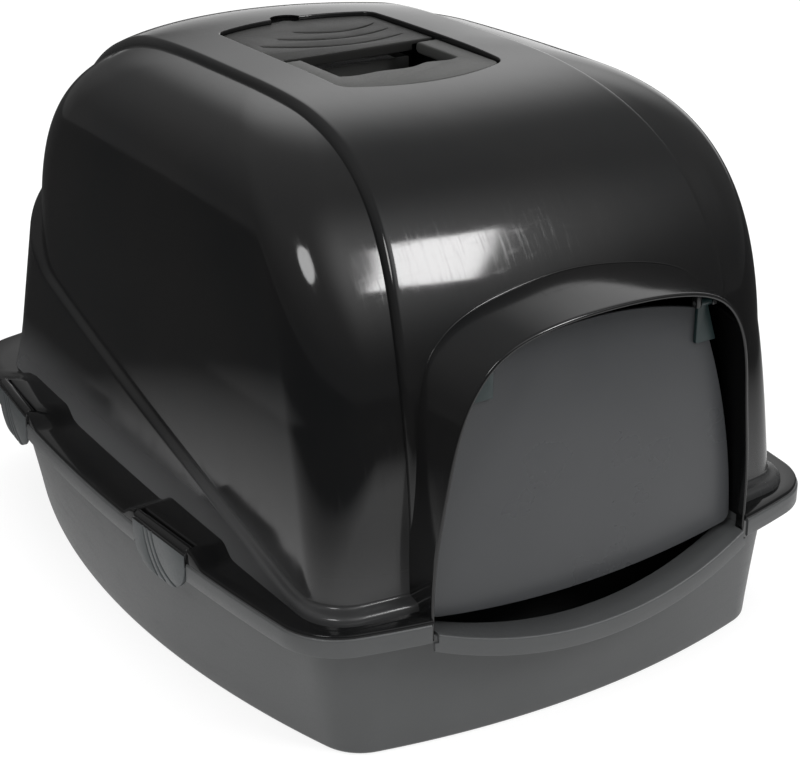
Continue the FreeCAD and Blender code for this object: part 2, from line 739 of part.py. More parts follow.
def cover_shape():
    """Louvred plate with a front lip, hinge lugs at its front corners and a tongue at its rear edge."""
    low = d.lid_top - d.cover_thickness
    plate = lid_plan.prism(low, d.lid_top)
    plate = plate.common(block(vec(-wide, d.cover_front, low), vec(wide, far, d.lid_top)))
    lip_half = d.lid_half_width - d.handle_arm
    lip = block(vec(-lip_half, d.cover_front, d.lid_top - d.cover_lip),
                vec(lip_half, d.cover_front + d.cover_lip_thickness, low))
    radius = d.pivot_radius + d.gap
    solids = [plate, lip]
    for side in (-1, 1):
        inner = side * (d.lid_half_width - d.cover_lug)
        front = vec(inner, d.cover_pivot - radius, cover_axis)
        rear = vec(inner, d.cover_pivot + radius, cover_axis)
        front_top, rear_top = vec(inner, front.y, low), vec(inner, rear.y, low)
        edges = [Part.Arc(front, vec(inner, d.cover_pivot, cover_axis - radius), rear).toShape(),
                 Part.makeLine(rear, rear_top), Part.makeLine(rear_top, front_top),
                 Part.makeLine(front_top, front)]
        lug = Part.Face(Part.Wire(edges)).extrude(vec(side * d.cover_lug, 0, 0))
        outer = vec(side * d.lid_half_width, d.cover_pivot, cover_axis)
        trunnion = Part.makeCylinder(d.pivot_radius, d.pivot_reach, outer, vec(side, 0, 0))
        solids.append(lug.fuse(trunnion))
    # A tongue at the rear edge lies in the hood's finger recess
    tongue = vec(0, d.lid_rear - d.tongue_radius / 4, low)
    solids.append(Part.makeCylinder(d.tongue_radius, d.cover_thickness, tongue))
    return fused(solids).cut([louvre_cut(shares) for shares in LOUVRE_SHARES])


# Flap

def flap_shape():
    y = -d.flap_face
    foot, head = d.flap_foot_height, d.flap_head_height
    waist = (foot + head) / 2
    right_foot, right_head = vec(d.flap_foot_half_width, y, foot), vec(d.flap_head_half_width, y, head)
    left_foot, left_head = vec(-d.flap_foot_half_width, y, foot), vec(-d.flap_head_half_width, y, head)
    edges = [
        Part.Arc(left_foot, vec(0, y, foot - d.flap_foot_dip), right_foot).toShape(),
        Part.Arc(right_foot, vec(d.flap_waist_half_width, y, waist), right_head).toShape(),
        Part.Arc(right_head, vec(0, y, head + d.flap_head_rise), left_head).toShape(),
        Part.Arc(left_head, vec(-d.flap_waist_half_width, y, waist), left_foot).toShape(),
    ]
    flap = Part.Face(Part.Wire(edges)).extrude(vec(0, d.flap_thickness, 0))
    upright = [edge for edge in flap.Edges if abs(edge.Vertexes[0].Y - edge.Vertexes[-1].Y) > 0
               and edge.Vertexes[0].Z < waist]
    return flap.makeFillet(d.flap_corner, upright)


def clip_shape():
    """Right-hand clip: a tapered plate on the flap's face under a barrel round the pin."""
    y = -d.flap_face
    front = y - d.clip_thickness
    foot = d.hinge_height - d.clip_height
    inner = d.clip_inner
    # The plate widens only below the reach of the ears' corners
    neck = d.hinge_height - math.hypot(d.ear_depth / 2, d.ear_depth / 2) - d.gap
    outer = inner + d.clip_head_width
    points = [vec(inner, y, d.hinge_height), vec(inner, y, foot), vec(inner + d.clip_foot_width, y, foot),
              vec(outer, y, neck), vec(outer, y, d.hinge_height)]
    plate = Part.Face(Part.makePolygon(points + points[:1])).extrude(vec(0, front - y, 0))
    barrel = Part.makeCylinder(d.clip_barrel_radius, d.clip_head_width,
                               vec(inner, -d.hinge_depth, d.hinge_height), vec(1, 0, 0))
    bore = Part.makeCylinder(d.pin_radius + d.running_fit, 2 * wide,
                             vec(0, -d.hinge_depth, d.hinge_height), vec(1, 0, 0))
    return plate.fuse(barrel).cut(bore).removeSplitter()


keep("litter_tray", tray_shape())
keep("hood_shell", hood_shape())
keep("carry_handle", handle_shape())
keep("filter_cover", cover_shape())
keep("door_flap", flap_shape())
right_clip = clip_shape()
keep("flap_clip_right", right_clip)
keep("flap_clip_left", mirrored(right_clip))


# Primitives bound to the sheet

def bind(feature, **expressions):
    for key, expression in expressions.items():
        feature.setExpression(key.replace("__", "."), expression)
    return feature


def place(feature, x="0", y="0", z="0"):
    bind(feature, Placement__Base__x=x, Placement__Base__y=y, Placement__Base__z=z)
    return feature


def bound_box(name, length, width, height, **where):
    box = doc.addObject("Part::Box", name)
    bind(box, Length=length, Width=width, Height=height)
    return place(box, **where)


def bound_cylinder(name, radius, height, axis, **where):
    cylinder = doc.addObject("Part::Cylinder", name)
    bind(cylinder, Radius=radius, Height=height)
    cylinder.Placement.Rotation = FreeCAD.Rotation(vec(0, 0, 1), axis)
    return place(cylinder, **where)


def bound_fuse(name, shapes):
    union = doc.addObject("Part::MultiFuse", name)
    union.Shapes = shapes
    union.Refine = True
    return union


# Flap pins

for side, sign in (("left", -1), ("right", 1)):
    pin = bound_cylinder(
        f"flap_pin_{side}", "Sizes.pin_radius",
        "Sizes.clip_head_width + 2 * Sizes.ear_gap + 2 * Sizes.ear_thickness - Sizes.pin_setback",
        vec(sign, 0, 0),
        x=f"{sign} * (Sizes.clip_inner - Sizes.ear_gap - Sizes.ear_thickness)",
        y="-Sizes.hinge_depth", z="Sizes.hinge_height")
    pin.Label = f"flap_pin_{side}"
    parts.append(pin)


# Latches: the ribbed plate, the pivot barrel with its ends, and the hook under the rim

def make_latch(label, side, along):
    half = "Sizes.latch_length / 2"
    inner = "(Sizes.latch_proud - Sizes.latch_thickness)"
    axis_z = "(Sizes.tray_height + Sizes.flange_thickness + Sizes.latch_pivot_height)"
    solids = [
        bound_box(f"{label}_head", "Sizes.latch_thickness", "Sizes.latch_length",
                  f"{axis_z} - Sizes.latch_foot - Sizes.latch_round",
                  x=inner, y=f"-{half}", z="Sizes.latch_foot + Sizes.latch_round"),
        bound_box(f"{label}_chin", "Sizes.latch_thickness", "Sizes.latch_length - 2 * Sizes.latch_round",
                  "Sizes.latch_round", x=inner, y=f"-{half} + Sizes.latch_round", z="Sizes.latch_foot"),
        bound_cylinder(f"{label}_barrel", "Sizes.latch_barrel_radius", "Sizes.latch_length", vec(0, 1, 0),
                       x="-Sizes.latch_pivot_depth", y=f"-{half}", z=axis_z),
        bound_cylinder(f"{label}_pivot", "Sizes.latch_pin_radius",
                       "Sizes.latch_length + 2 * Sizes.latch_pin_reach", vec(0, 1, 0),
                       x="-Sizes.latch_pivot_depth", y=f"-{half} - Sizes.latch_pin_reach", z=axis_z),
        bound_box(f"{label}_hook", "Sizes.hook_reach", "Sizes.hook_length", "Sizes.hook_height",
                  x=f"{inner} - Sizes.hook_reach", y="-Sizes.hook_length / 2",
                  z="Sizes.tray_height - Sizes.rim_thickness - Sizes.gap - Sizes.hook_height"),
    ]
    down, back, out = vec(0, 0, -1), vec(0, 1, 0), vec(1, 0, 0)
    for corner, sign, first, second in (("rear", 1, down, back), ("front", -1, -back, down)):
        quarter = bound_cylinder(
            f"{label}_{corner}_round", "Sizes.latch_round", "Sizes.latch_thickness", out,
            x=inner, y=f"{sign} * ({half} - Sizes.latch_round)", z="Sizes.latch_foot + Sizes.latch_round")
        quarter.Angle = 90
        quarter.Placement.Rotation = FreeCAD.Rotation(first, second, out, "ZXY")
        solids.append(quarter)
    body = bound_fuse(f"{label}_body", solids)
    grooves = []
    for number in range(3):
        radius = f"Sizes.groove_first - {number} * Sizes.groove_pitch"
        where = {"x": "Sizes.latch_proud - Sizes.groove_depth", "y": f"{-side} * Sizes.groove_aside",
                 "z": f"{axis_z} + Sizes.latch_barrel_radius"}
        groove = doc.addObject("Part::Cut", f"{label}_groove_{number}")
        groove.Base = bound_cylinder(f"{label}_groove_{number}_rim", radius,
                                     "Sizes.latch_thickness", out, **where)
        groove.Tool = bound_cylinder(f"{label}_groove_{number}_core", f"{radius} - Sizes.groove_width",
                                     "Sizes.latch_thickness", out, **where)
        grooves.append(groove)
    latch = doc.addObject("Part::Cut", label)
    latch.Base = body
    latch.Tool = bound_fuse(f"{label}_grooves", grooves)
    latch.Refine = True
    latch.Label = label
    latch.Placement = latch_frame(side, along)
    parts.append(latch)


for latch_label, latch_side, latch_along in LATCHES:
    make_latch(latch_label, latch_side, latch_along)


# Filter holder: a shallow basket with a row of slots in its floor

def origin_plane(body, role):
    return next(f for f in body.Origin.OriginFeatures if f.Role == role)


def rectangle_sketch(body, name, width, length, x_middle="0", height="0"):
    """Sketch of a centred rectangle above the body's XY plane, its sizes bound to the sheet."""
    sketch = body.newObject("Sketcher::SketchObject", name)
    sketch.AttachmentSupport = [(origin_plane(body, "XY_Plane"), "")]
    sketch.MapMode = "FlatFace"
    sketch.setExpression("AttachmentOffset.Base.z", height)
    unit = (vec(-1, -1, 0), vec(1, -1, 0), vec(1, 1, 0), vec(-1, 1, 0))
    for i in range(4):
        sketch.addGeometry(Part.LineSegment(unit[i], unit[(i + 1) % 4]))
    for i in range(4):
        sketch.addConstraint(Sketcher.Constraint("Coincident", i, 2, (i + 1) % 4, 1))
    for i, kind in enumerate(("Horizontal", "Vertical", "Horizontal", "Vertical")):
        sketch.addConstraint(Sketcher.Constraint(kind, i))
    bound = (
        (Sketcher.Constraint("DistanceX", 0, 1, 0, 2, 1.0), width),
        (Sketcher.Constraint("DistanceY", 1, 1, 1, 2, 1.0), length),
        (Sketcher.Constraint("DistanceX", -1, 1, 0, 2, 1.0), f"{x_middle} + ({width}) / 2"),
        (Sketcher.Constraint("DistanceY", -1, 1, 1, 2, 1.0), f"({length}) / 2"),
    )
    for constraint, expression in bound:
        index = sketch.addConstraint(constraint)
        sketch.setExpression(f"Constraints[{index}]", expression)
    return sketch


holder = doc.addObject("PartDesign::Body", "filter_holder")
holder.Label = "filter_holder"
plate_sketch = rectangle_sketch(holder, "holder_outline", "Sizes.holder_width", "Sizes.holder_length")
plate_pad = holder.newObject("PartDesign::Pad", "holder_plate")
plate_pad.Profile = plate_sketch
bind(plate_pad, Length="Sizes.holder_height")
doc.recompute()
inner_sketch = rectangle_sketch(holder, "holder_inner_outline", "Sizes.holder_width - 2 * Sizes.holder_wall",
                                "Sizes.holder_length - 2 * Sizes.holder_wall",
                                height="Sizes.holder_thickness")
inner_cut = holder.newObject("PartDesign::Pocket", "holder_inner_cut")
inner_cut.Profile = inner_sketch
inner_cut.Type = 1
inner_cut.Reversed = True
doc.recompute()
slot_count = 1 + int((d.holder_width - 2 * d.holder_edge - d.holder_slot) / d.holder_pitch)
slot_first = "-Sizes.holder_pitch * " + str((slot_count - 1) / 2)
slot_sketch = rectangle_sketch(holder, "holder_slot_outline", "Sizes.holder_slot",
                               "Sizes.holder_length - 2 * Sizes.holder_edge", x_middle=slot_first)
slot_cut = holder.newObject("PartDesign::Pocket", "holder_slot_cut")
slot_cut.Profile = slot_sketch
slot_cut.Type = 1
slot_cut.Midplane = True
doc.recompute()
slot_row = holder.newObject("PartDesign::LinearPattern", "holder_slots")
slot_row.Originals = [slot_cut]
slot_row.Direction = (origin_plane(holder, "X_Axis"), [""])
slot_row.Occurrences = slot_count
bind(slot_row, Length=f"Sizes.holder_pitch * {slot_count - 1}")
holder.Tip = slot_row
holder.Placement = FreeCAD.Placement(vec(0, d.holder_middle, well_floor), FreeCAD.Rotation())
parts.append(holder)


# Carbon filter: a soft pad on the holder

filter_inset = "(Sizes.holder_wall + Sizes.filter_gap)"
pad = bound_box("filter_block", f"Sizes.holder_width - 2 * {filter_inset}",
                f"Sizes.holder_length - 2 * {filter_inset}", "Sizes.filter_thickness",
                x=f"-Sizes.holder_width / 2 + {filter_inset}",
                y=f"Sizes.holder_middle - Sizes.holder_length / 2 + {filter_inset}",
                z="Sizes.lid_top - Sizes.well_depth + Sizes.holder_thickness + Sizes.seat_gap")
doc.recompute()
filter_pad = doc.addObject("Part::Fillet", "carbon_filter")
filter_pad.Base = pad
filter_pad.Edges = [(i, d.filter_round, d.filter_round) for i in (1, 3, 5, 7)]
filter_pad.Label = "carbon_filter"
parts.append(filter_pad)

doc.recompute()


# Check and write every sub-part

for item in doc.Objects:
    if "Invalid" in item.State or "Error" in item.State:
        raise RuntimeError(f"{item.Label} did not build: {item.State}")
os.makedirs("parts", exist_ok=True)
for item in parts:
    shape = item.Shape
    if shape.isNull() or not shape.isValid():
        raise RuntimeError(f"{item.Label} has no valid shape")
    shape.exportStep(f"parts/{item.Label}.step")
    box = shape.BoundBox
    print(item.Label, len(shape.Solids), round(shape.Volume / 1000, 1), "cm3",
          [round(v, 1) for v in (box.XMin, box.XMax, box.YMin, box.YMax, box.ZMin, box.ZMax)])
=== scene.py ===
import math

import bmesh
import bpy
import numpy as np
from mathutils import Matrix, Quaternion, Vector

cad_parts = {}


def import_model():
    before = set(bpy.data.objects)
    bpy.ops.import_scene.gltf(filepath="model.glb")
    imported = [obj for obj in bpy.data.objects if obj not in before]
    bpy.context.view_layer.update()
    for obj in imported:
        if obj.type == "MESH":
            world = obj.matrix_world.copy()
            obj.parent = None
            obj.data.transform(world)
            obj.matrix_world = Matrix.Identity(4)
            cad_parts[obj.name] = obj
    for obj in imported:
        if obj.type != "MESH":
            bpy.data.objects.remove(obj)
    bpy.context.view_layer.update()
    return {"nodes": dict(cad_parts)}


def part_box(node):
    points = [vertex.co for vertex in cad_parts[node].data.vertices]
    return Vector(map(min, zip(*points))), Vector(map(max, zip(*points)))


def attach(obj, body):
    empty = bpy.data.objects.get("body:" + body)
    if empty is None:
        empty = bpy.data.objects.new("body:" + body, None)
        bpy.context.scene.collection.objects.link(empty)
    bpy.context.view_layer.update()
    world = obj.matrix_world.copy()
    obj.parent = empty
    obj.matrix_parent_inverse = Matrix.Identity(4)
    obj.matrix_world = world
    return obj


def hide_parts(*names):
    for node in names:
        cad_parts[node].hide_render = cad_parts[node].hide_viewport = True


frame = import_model()
scene = bpy.context.scene
scene.view_settings.view_transform = "Standard"

# Shapes are worked out in millimetres and written to meshes in metres
MM = 0.001
# Points nearer to each other than this become one, in metres
MERGE = 2e-6
# Edges that turn by more than this stay sharp, in degrees
SHARP = 35.0


# Mesh helpers

def new_object(name, verts, faces, sharp=SHARP):
    mesh = bpy.data.meshes.new(name)
    mesh.from_pydata((np.asarray(verts, float) * MM).tolist(), [], faces)
    obj = bpy.data.objects.new(name, mesh)
    scene.collection.objects.link(obj)
    finish_mesh(obj, sharp)
    return obj


def finish_mesh(obj, sharp=SHARP):
    """Merges doubled points, turns the faces outward and shades them smooth up to an angle."""
    bm = bmesh.new()
    bm.from_mesh(obj.data)
    bmesh.ops.remove_doubles(bm, verts=bm.verts, dist=MERGE)
    bmesh.ops.recalc_face_normals(bm, faces=bm.faces)
    bm.to_mesh(obj.data)
    bm.free()
    obj.data.shade_smooth()
    obj.data.set_sharp_from_angle(angle=math.radians(sharp))
    obj.data.update()


def quads(rows, columns, start=0, wrap=False, flip=False):
    faces = []
    for j in range(rows - 1):
        for k in range(columns if wrap else columns - 1):
            a = start + j * columns + k
            b = start + j * columns + (k + 1) % columns
            c = b + columns
            e = a + columns
            faces.append((a, e, c, b) if flip else (a, b, c, e))
    return faces


def shell(name, outer, inner, sharp=SHARP):
    """Closed shell between two grids of points of the same size."""
    rows, columns = outer.shape[:2]
    count = rows * columns
    faces = quads(rows, columns) + quads(rows, columns, count, flip=True)
    ring = list(range(columns))
    ring += [j * columns + columns - 1 for j in range(1, rows)]
    ring += [(rows - 1) * columns + k for k in range(columns - 2, -1, -1)]
    ring += [j * columns for j in range(rows - 2, 0, -1)]
    for a, b in zip(ring, ring[1:] + ring[:1]):
        faces.append((b, a, a + count, b + count))
    return new_object(name, np.concatenate([outer.reshape(-1, 3), inner.reshape(-1, 3)]), faces, sharp)


def ring_solid(name, loops, sharp=SHARP, close=True):
    """Solid from loops of points round an axis; the last loop joins the first, or both ends get caps."""
    loops = np.asarray(loops, float)
    rows, columns = loops.shape[:2]
    faces = quads(rows, columns, wrap=True)
    if close:
        last = (rows - 1) * columns
        faces += [(last + k, last + (k + 1) % columns, (k + 1) % columns, k) for k in range(columns)]
    else:
        faces.append(tuple(range(columns)))
        faces.append(tuple((rows - 1) * columns + k for k in range(columns)))
    return new_object(name, loops.reshape(-1, 3), faces, sharp)


def swept(name, grid, sharp):
    """Solid from a grid whose rows go round a section and whose columns go along it, with caps at its ends."""
    rows, columns = grid.shape[:2]
    last = (rows - 1) * columns
    faces = quads(rows, columns)
    faces += [(last + k, last + k + 1, k + 1, k) for k in range(columns - 1)]
    faces.append(tuple(j * columns for j in range(rows)))
    faces.append(tuple(j * columns + columns - 1 for j in range(rows)))
    return new_object(name, grid.reshape(-1, 3), faces, sharp)


def box_points(low, high):
    return [(x, y, z) for z in (low[2], high[2]) for x, y in
            ((low[0], low[1]), (high[0], low[1]), (high[0], high[1]), (low[0], high[1]))]


BOX_FACES = [(3, 2, 1, 0), (4, 5, 6, 7), (0, 1, 5, 4), (1, 2, 6, 5), (2, 3, 7, 6), (3, 0, 4, 7)]


def cylinder(name, start, stop, radius, count=32):
    start, stop = np.asarray(start, float), np.asarray(stop, float)
    axis = (stop - start) / np.linalg.norm(stop - start)
    side = np.cross(axis, (0.0, 0.0, 1.0) if abs(axis[2]) < 0.9 else (1.0, 0.0, 0.0))
    side /= np.linalg.norm(side)
    other = np.cross(axis, side)
    turns = np.linspace(0, 2 * math.pi, count, endpoint=False)
    circle = radius * (np.cos(turns)[:, None] * side + np.sin(turns)[:, None] * other)
    return ring_solid(name, [start + circle, stop + circle], close=False)


def applied(obj, sharp=SHARP):
    """Writes the object's modifiers into its mesh."""
    graph = bpy.context.evaluated_depsgraph_get()
    mesh = bpy.data.meshes.new_from_object(obj.evaluated_get(graph))
    old = obj.data
    obj.modifiers.clear()
    obj.data = mesh
    bpy.data.meshes.remove(old)
    finish_mesh(obj, sharp)
    return obj


def cut(obj, tools, sharp=SHARP):
    for tool in tools:
        step = obj.modifiers.new("cut", "BOOLEAN")
        step.operation = "DIFFERENCE"
        step.solver = "EXACT"
        step.object = tool
    applied(obj, sharp)
    for tool in tools:
        bpy.data.objects.remove(tool)
    return obj


def bevelled(node, name, width, segments=2, angle=30.0, sharp=40.0):
    """Copy of a CAD node's mesh with softened edges."""
    mesh = frame["nodes"][node].data.copy()
    mesh.name = name
    mesh.materials.clear()
    obj = bpy.data.objects.new(name, mesh)
    scene.collection.objects.link(obj)
    bm = bmesh.new()
    bm.from_mesh(mesh)
    bmesh.ops.remove_doubles(bm, verts=bm.verts, dist=MERGE)
    bmesh.ops.dissolve_limit(bm, angle_limit=math.radians(0.8), verts=bm.verts, edges=bm.edges)
    edges = [e for e in bm.edges if len(e.link_faces) == 2 and e.calc_face_angle(0.0) > math.radians(angle)]
    bmesh.ops.bevel(bm, geom=edges, offset=width * MM, offset_type="OFFSET", segments=segments, profile=0.5,
                    affect="EDGES", clamp_overlap=False)
    bm.to_mesh(mesh)
    bm.free()
    finish_mesh(obj, sharp)
    return obj


def mirrored_columns(half):
    """A grid over the right half, front to rear, carried on over the left half back to the front."""
    return np.concatenate([half, half[:, -2::-1] * (-1, 1, 1)], axis=1)


def unit(vectors):
    return vectors / np.linalg.norm(vectors, axis=1)[:, None]


def bisected(inside, low, high, count):
    """Greatest values that are still inside, by halving."""
    for _ in range(count):
        middle = (low + high) / 2
        kept = inside(middle)
        low, high = np.where(kept, middle, low), np.where(kept, high, middle)
    return low


# Plans: bowed four-sided outlines with round corners

def read_at(points, lengths, at):
    """Points at given lengths along a line of points."""
    return np.stack([np.interp(at, lengths, points[:, 0]), np.interp(at, lengths, points[:, 1])], axis=1)


class Plan:
    """Sizes: half widths and reaches of front and rear, bows of side, front and rear, and both corners."""

    def __init__(self, *sizes):
        self.sizes = sizes

    def grown(self, by):
        a, b, c, e, side, front, rear, fc, rc = self.sizes
        return Plan(a + by, b + by, c + by, e + by, side, front, rear, fc + by, rc + by)

    def side_arc(self):
        """Centres of the right corners, and the centre and radius of the bowed side between them."""
        front_half, rear_half, front, rear, side_bow, front_bow, rear_bow, fc, rc = self.sizes
        fx, fy = front_half - fc, fc + front_bow - front
        rx, ry = rear_half - rc, rear - rear_bow - rc
        span = math.hypot(rx - fx, ry - fy)
        ux, uy = (rx - fx) / span, (ry - fy) / span
        radius = (span ** 2 / 4 + side_bow ** 2) / (2 * side_bow) + (fc + rc) / 2
        ahead = ((radius - fc) ** 2 - (radius - rc) ** 2 + span ** 2) / (2 * span)
        across = math.sqrt((radius - fc) ** 2 - ahead ** 2)
        return fx, fy, rx, ry, fx + ux * ahead - uy * across, fy + uy * ahead + ux * across, radius

    def half(self, count=160):
        """Points of the right half, from the front's middle to the rear's, and the lengths along them."""
        _, _, front, rear, _, front_bow, rear_bow, fc, rc = self.sizes
        fx, fy, rx, ry, cx, cy, radius = self.side_arc()
        front_radius = (fx ** 2 + front_bow ** 2) / (2 * front_bow) + fc
        rear_radius = (rx ** 2 + rear_bow ** 2) / (2 * rear_bow) + rc
        front_y, rear_y = front_radius - front, rear - rear_radius
        side_front = math.atan2(fy - cy, fx - cx)
        side_rear = math.atan2(ry - cy, rx - cx)
        rear_turn = math.atan2(ry - rear_y, rx)
        front_turn = math.atan2(fy - front_y, fx)
        points = []
        for x, y, r, start, stop in ((0, front_y, front_radius, -math.pi / 2, front_turn),
                                     (fx, fy, fc, front_turn, side_front),
                                     (cx, cy, radius, side_front, side_rear),
                                     (rx, ry, rc, side_rear, rear_turn),
                                     (0, rear_y, rear_radius, rear_turn, math.pi / 2)):
            turns = np.linspace(start, stop, count)[1 if points else 0:]
            points.append(np.stack([x + r * np.cos(turns), y + r * np.sin(turns)], axis=1))
        points = np.concatenate(points)
        lengths = np.concatenate([[0.0], np.cumsum(np.hypot(*np.diff(points, axis=0).T))])
        return points, lengths

    def from_x(self, x, shares):
        """Points at shares of the length between the front point at x and the rear's middle."""
        points, lengths = self.half()
        top = int(np.argmax(points[:, 0]))
        start = np.interp(x, points[:top + 1, 0], lengths[:top + 1])
        at = start + np.asarray(shares) * (lengths[-1] - start)
        return read_at(points, lengths, at)

    def at_x(self, xs):
        """Front points at the given places across."""
        points, _ = self.half()
        top = int(np.argmax(points[:, 0]))
        return np.stack([xs, np.interp(xs, points[:top + 1, 0], points[:top + 1, 1])], axis=1)

    def loop(self, count, z):
        """Closed loop of points at a height."""
        points, lengths = self.half()
        at = np.linspace(0, lengths[-1], count)
        right = read_at(points, lengths, at)
        left = right[-2:0:-1] * (-1, 1)
        flat = np.concatenate([right, left])
        return np.concatenate([flat, np.full((len(flat), 1), z)], axis=1)


def lifted(flat, z):
    return np.concatenate([flat, np.broadcast_to(np.asarray(z, float), (len(flat),))[:, None]], axis=1)


rim = Plan(226, 226, 330, 330, 19, 23, 23, 51, 58)
foot = Plan(191, 192, 305, 300, 36, 19, 19, 37, 70)
lid = Plan(69, 69, 108, 108, 1.2, 12, 12, 12, 12)
skirting = Plan(206, 200, 304, 284, 4, 11, 20, 32, 34)
skirting_head = Plan(200, 194, 298, 274, 4, 11, 20, 32, 100)
# Height of the tray, thickness of the walls, rise of the dome and the powers of its curves
BASE, WALL, RISE = 110.0, 2.6, 301.0
SIDE_POWER, FRONT_POWER, REAR_POWER = 7.0, 3.3, 5.1
# The dome's foot, front and rear: half widths, reaches and corners, and the bows of side, front and rear
DOME_HALF, DOME_REACH, DOME_CORNER, DOME_BOW = (198, 193), (294, 272), (49, 88), (4, 11, 20)
# Flare at the foot of its front, what that takes off the corners, and the level where it ends
FLARE, FLARE_CORNER, FLARE_TOP = 3, 22, 0.43
# How the corners change towards the crown
REAR_CORNER_GAIN, CORNER_FADE, CORNER_LIMIT = 60, 0.35, 0.75
NEARLY_ONE = 0.99999
# The band: half width, the height where it starts to narrow, by how much, its lift, and its rolled edge
BAND_HALF, BAND_BEND, BAND_TAPER, BAND_LIFT = 138.8, 260.5, 24.3, 5.0
BAND_SUNK, BAND_ROLL = 1.0, 4.6
# The skirting: its height, the cove at its foot, and the rising line that ends it
SKIRT_RISE, COVE, COVE_RISE, COVE_POWER = 210, 3.5, 42, 1.7
LINE_Y, LINE_Z, LINE_EASE, LINE_TOP = (-247.0, 176.8, 280.0), (119.0, 218.0, 312.0), 26, 311.0
# The visor: Y of its root, its reach, half widths and tops of its two arches, the legs' end, and the lip
ROOT_Y, VISOR_REACH, LEG_END = -250, 77, 96
ROOT_HALF, ROOT_TOP, FACE_HALF, FACE_TOP = 141.5, 321, 137, 311
LIP_Y, LIP_LEAN = -314, 13
# The flap's hinge: its place, the clips and the ears on both sides of them
HINGE_Y, HINGE_Z, PIN_BORE = -306.4, 288, 1.56
CLIP_INNER, CLIP_WIDE, EAR_GAP, EAR_WIDE, EAR_HALF = 85.8, 9.4, 0.4, 4.0, 3.0
# The opening in the top: gaps round the lid, the well and the hole in its floor, the finger recess, the pivots
LID_GAP, BAND_GAP, ABOVE = 1.5, 2.8, 430.0
WELL_FOOT, WELL_FLOOR, WELL_TOP, COLLAR_FOOT = 376.6, 379.2, 409.6, 405.2
FLOOR_HOLE = (-49, 25, 370), (49, 81, 390)
RECESS_Y, RECESS_FLOOR, RECESS_RADIUS = 108, 406.2, 13.0
PIVOTS, PIVOT_REACH, PIVOT_BORE = ((-7, 407.7), (9, 406.0)), 74.1, 2.5
# The latches: places along the side, half length, notch, pivot and raised seats
LATCH_ALONG, LATCH_HALF, LATCH_NOTCH = (-117.0, 162.0), 37.1, 9.0
BARREL_IN, BARREL_Z, BARREL_HALF = 5, 116.6, 41.1
SEAT_RISE, SEAT_END, SEAT_RAMP = 8.0, 57.5, 19.3
FLANGE_START, FLANGE_ROUND = 137.4, 1.6
# The tray: the doorway's dip, the rim's width, and the roundings of floor, foot and rim
DOOR_HALF, DIP_LOW, DIP, FRONT_END = 137.0, 77.0, 26.0, 150.0
RIM_WIDE, FLOOR_ROUND, FOOT_ROUND, RIM_ROUND = 22.0, 5, 3.0, 1.8
# Room for the visor's legs in the tray's rim: across, rear end and lower end
LEG_ACROSS, LEG_REAR, LEG_LOW = (134.25, 138.9), -305.9, 95.4


# The dome

def dome_sizes(t, grow):
    """The plan's sizes at a level of the dome; works on numbers and on arrays."""
    across = (1 - t ** SIDE_POWER) ** (1 / SIDE_POWER)
    ahead = (1 - t ** FRONT_POWER) ** (1 / FRONT_POWER)
    behind = (1 - t ** REAR_POWER) ** (1 / REAR_POWER)
    front_share, rear_share = np.minimum(across, ahead), np.minimum(across, behind)
    flare = np.maximum(0.0, 1 - t / FLARE_TOP)
    out = grow + FLARE * flare
    front_half, rear_half = (DOME_HALF[0] + out) * across, (DOME_HALF[1] + grow) * across
    front, rear = (DOME_REACH[0] + out) * ahead, (DOME_REACH[1] + grow) * behind
    fc = (DOME_CORNER[0] + grow - FLARE_CORNER * flare) * front_share ** CORNER_FADE
    rc = (DOME_CORNER[1] + grow + REAR_CORNER_GAIN * t ** 4) * rear_share ** CORNER_FADE
    fc = np.minimum(fc, CORNER_LIMIT * np.minimum(front_half, front))
    rc = np.minimum(rc, CORNER_LIMIT * np.minimum(rear_half, rear))
    side_bow, front_bow, rear_bow = DOME_BOW
    return (front_half, rear_half, front, rear, side_bow * across, front_bow * front_share,
            rear_bow * rear_share, fc, rc)


def level(z, grow):
    """Share of the dome's height."""
    return np.clip((z - BASE) / (RISE + grow), 0.0, NEARLY_ONE)


def end_reach(x, half, reach, bow, corner):
    """How far a plan reaches along Y at a place across, or nothing outside it."""
    cx, cy = half - corner, reach - bow - corner
    radius = (cx ** 2 + bow ** 2) / (2 * bow) + corner
    centre = reach - radius
    touch = radius * cx / np.hypot(cx, cy - centre)
    arc = centre + np.sqrt(np.maximum(radius ** 2 - x ** 2, 0))
    round_off = cy + np.sqrt(np.maximum(corner ** 2 - (x - cx) ** 2, 0))
    result = np.where(x <= touch, arc, round_off)
    return np.where(x <= half, result, -1e3)


def inside_dome(x, y, z, grow):
    front_half, rear_half, front, rear, _, front_bow, rear_bow, fc, rc = dome_sizes(level(z, grow), grow)
    ahead = end_reach(np.abs(x), front_half, front, front_bow, fc)
    behind = end_reach(np.abs(x), rear_half, rear, rear_bow, rc)
    return (z < BASE + RISE + grow) & (y > -ahead) & (y < behind)


def band_half(z):
    share = np.clip((z - BAND_BEND) / (BASE + RISE - BAND_BEND), 0.0, 1.0)
    return BAND_HALF - BAND_TAPER * share ** 2


def front_of_dome(x, z, grow):
    front_half, _, front, _, _, front_bow, _, fc, _ = dome_sizes(level(z, grow), grow)
    return -end_reach(np.abs(x), front_half, front, front_bow, fc)


# Sides of the hood, with the raised skirting under its rising line

def line_height(y):
    """Height of the skirting's line, with its bends eased."""
    def straight(at):
        return np.interp(at, LINE_Y, LINE_Z)
    shifts = np.linspace(-LINE_EASE, LINE_EASE, 13)
    weights = np.cos(shifts / LINE_EASE * math.pi / 2) ** 2
    return sum(w * straight(y + s) for w, s in zip(weights, shifts)) / weights.sum()


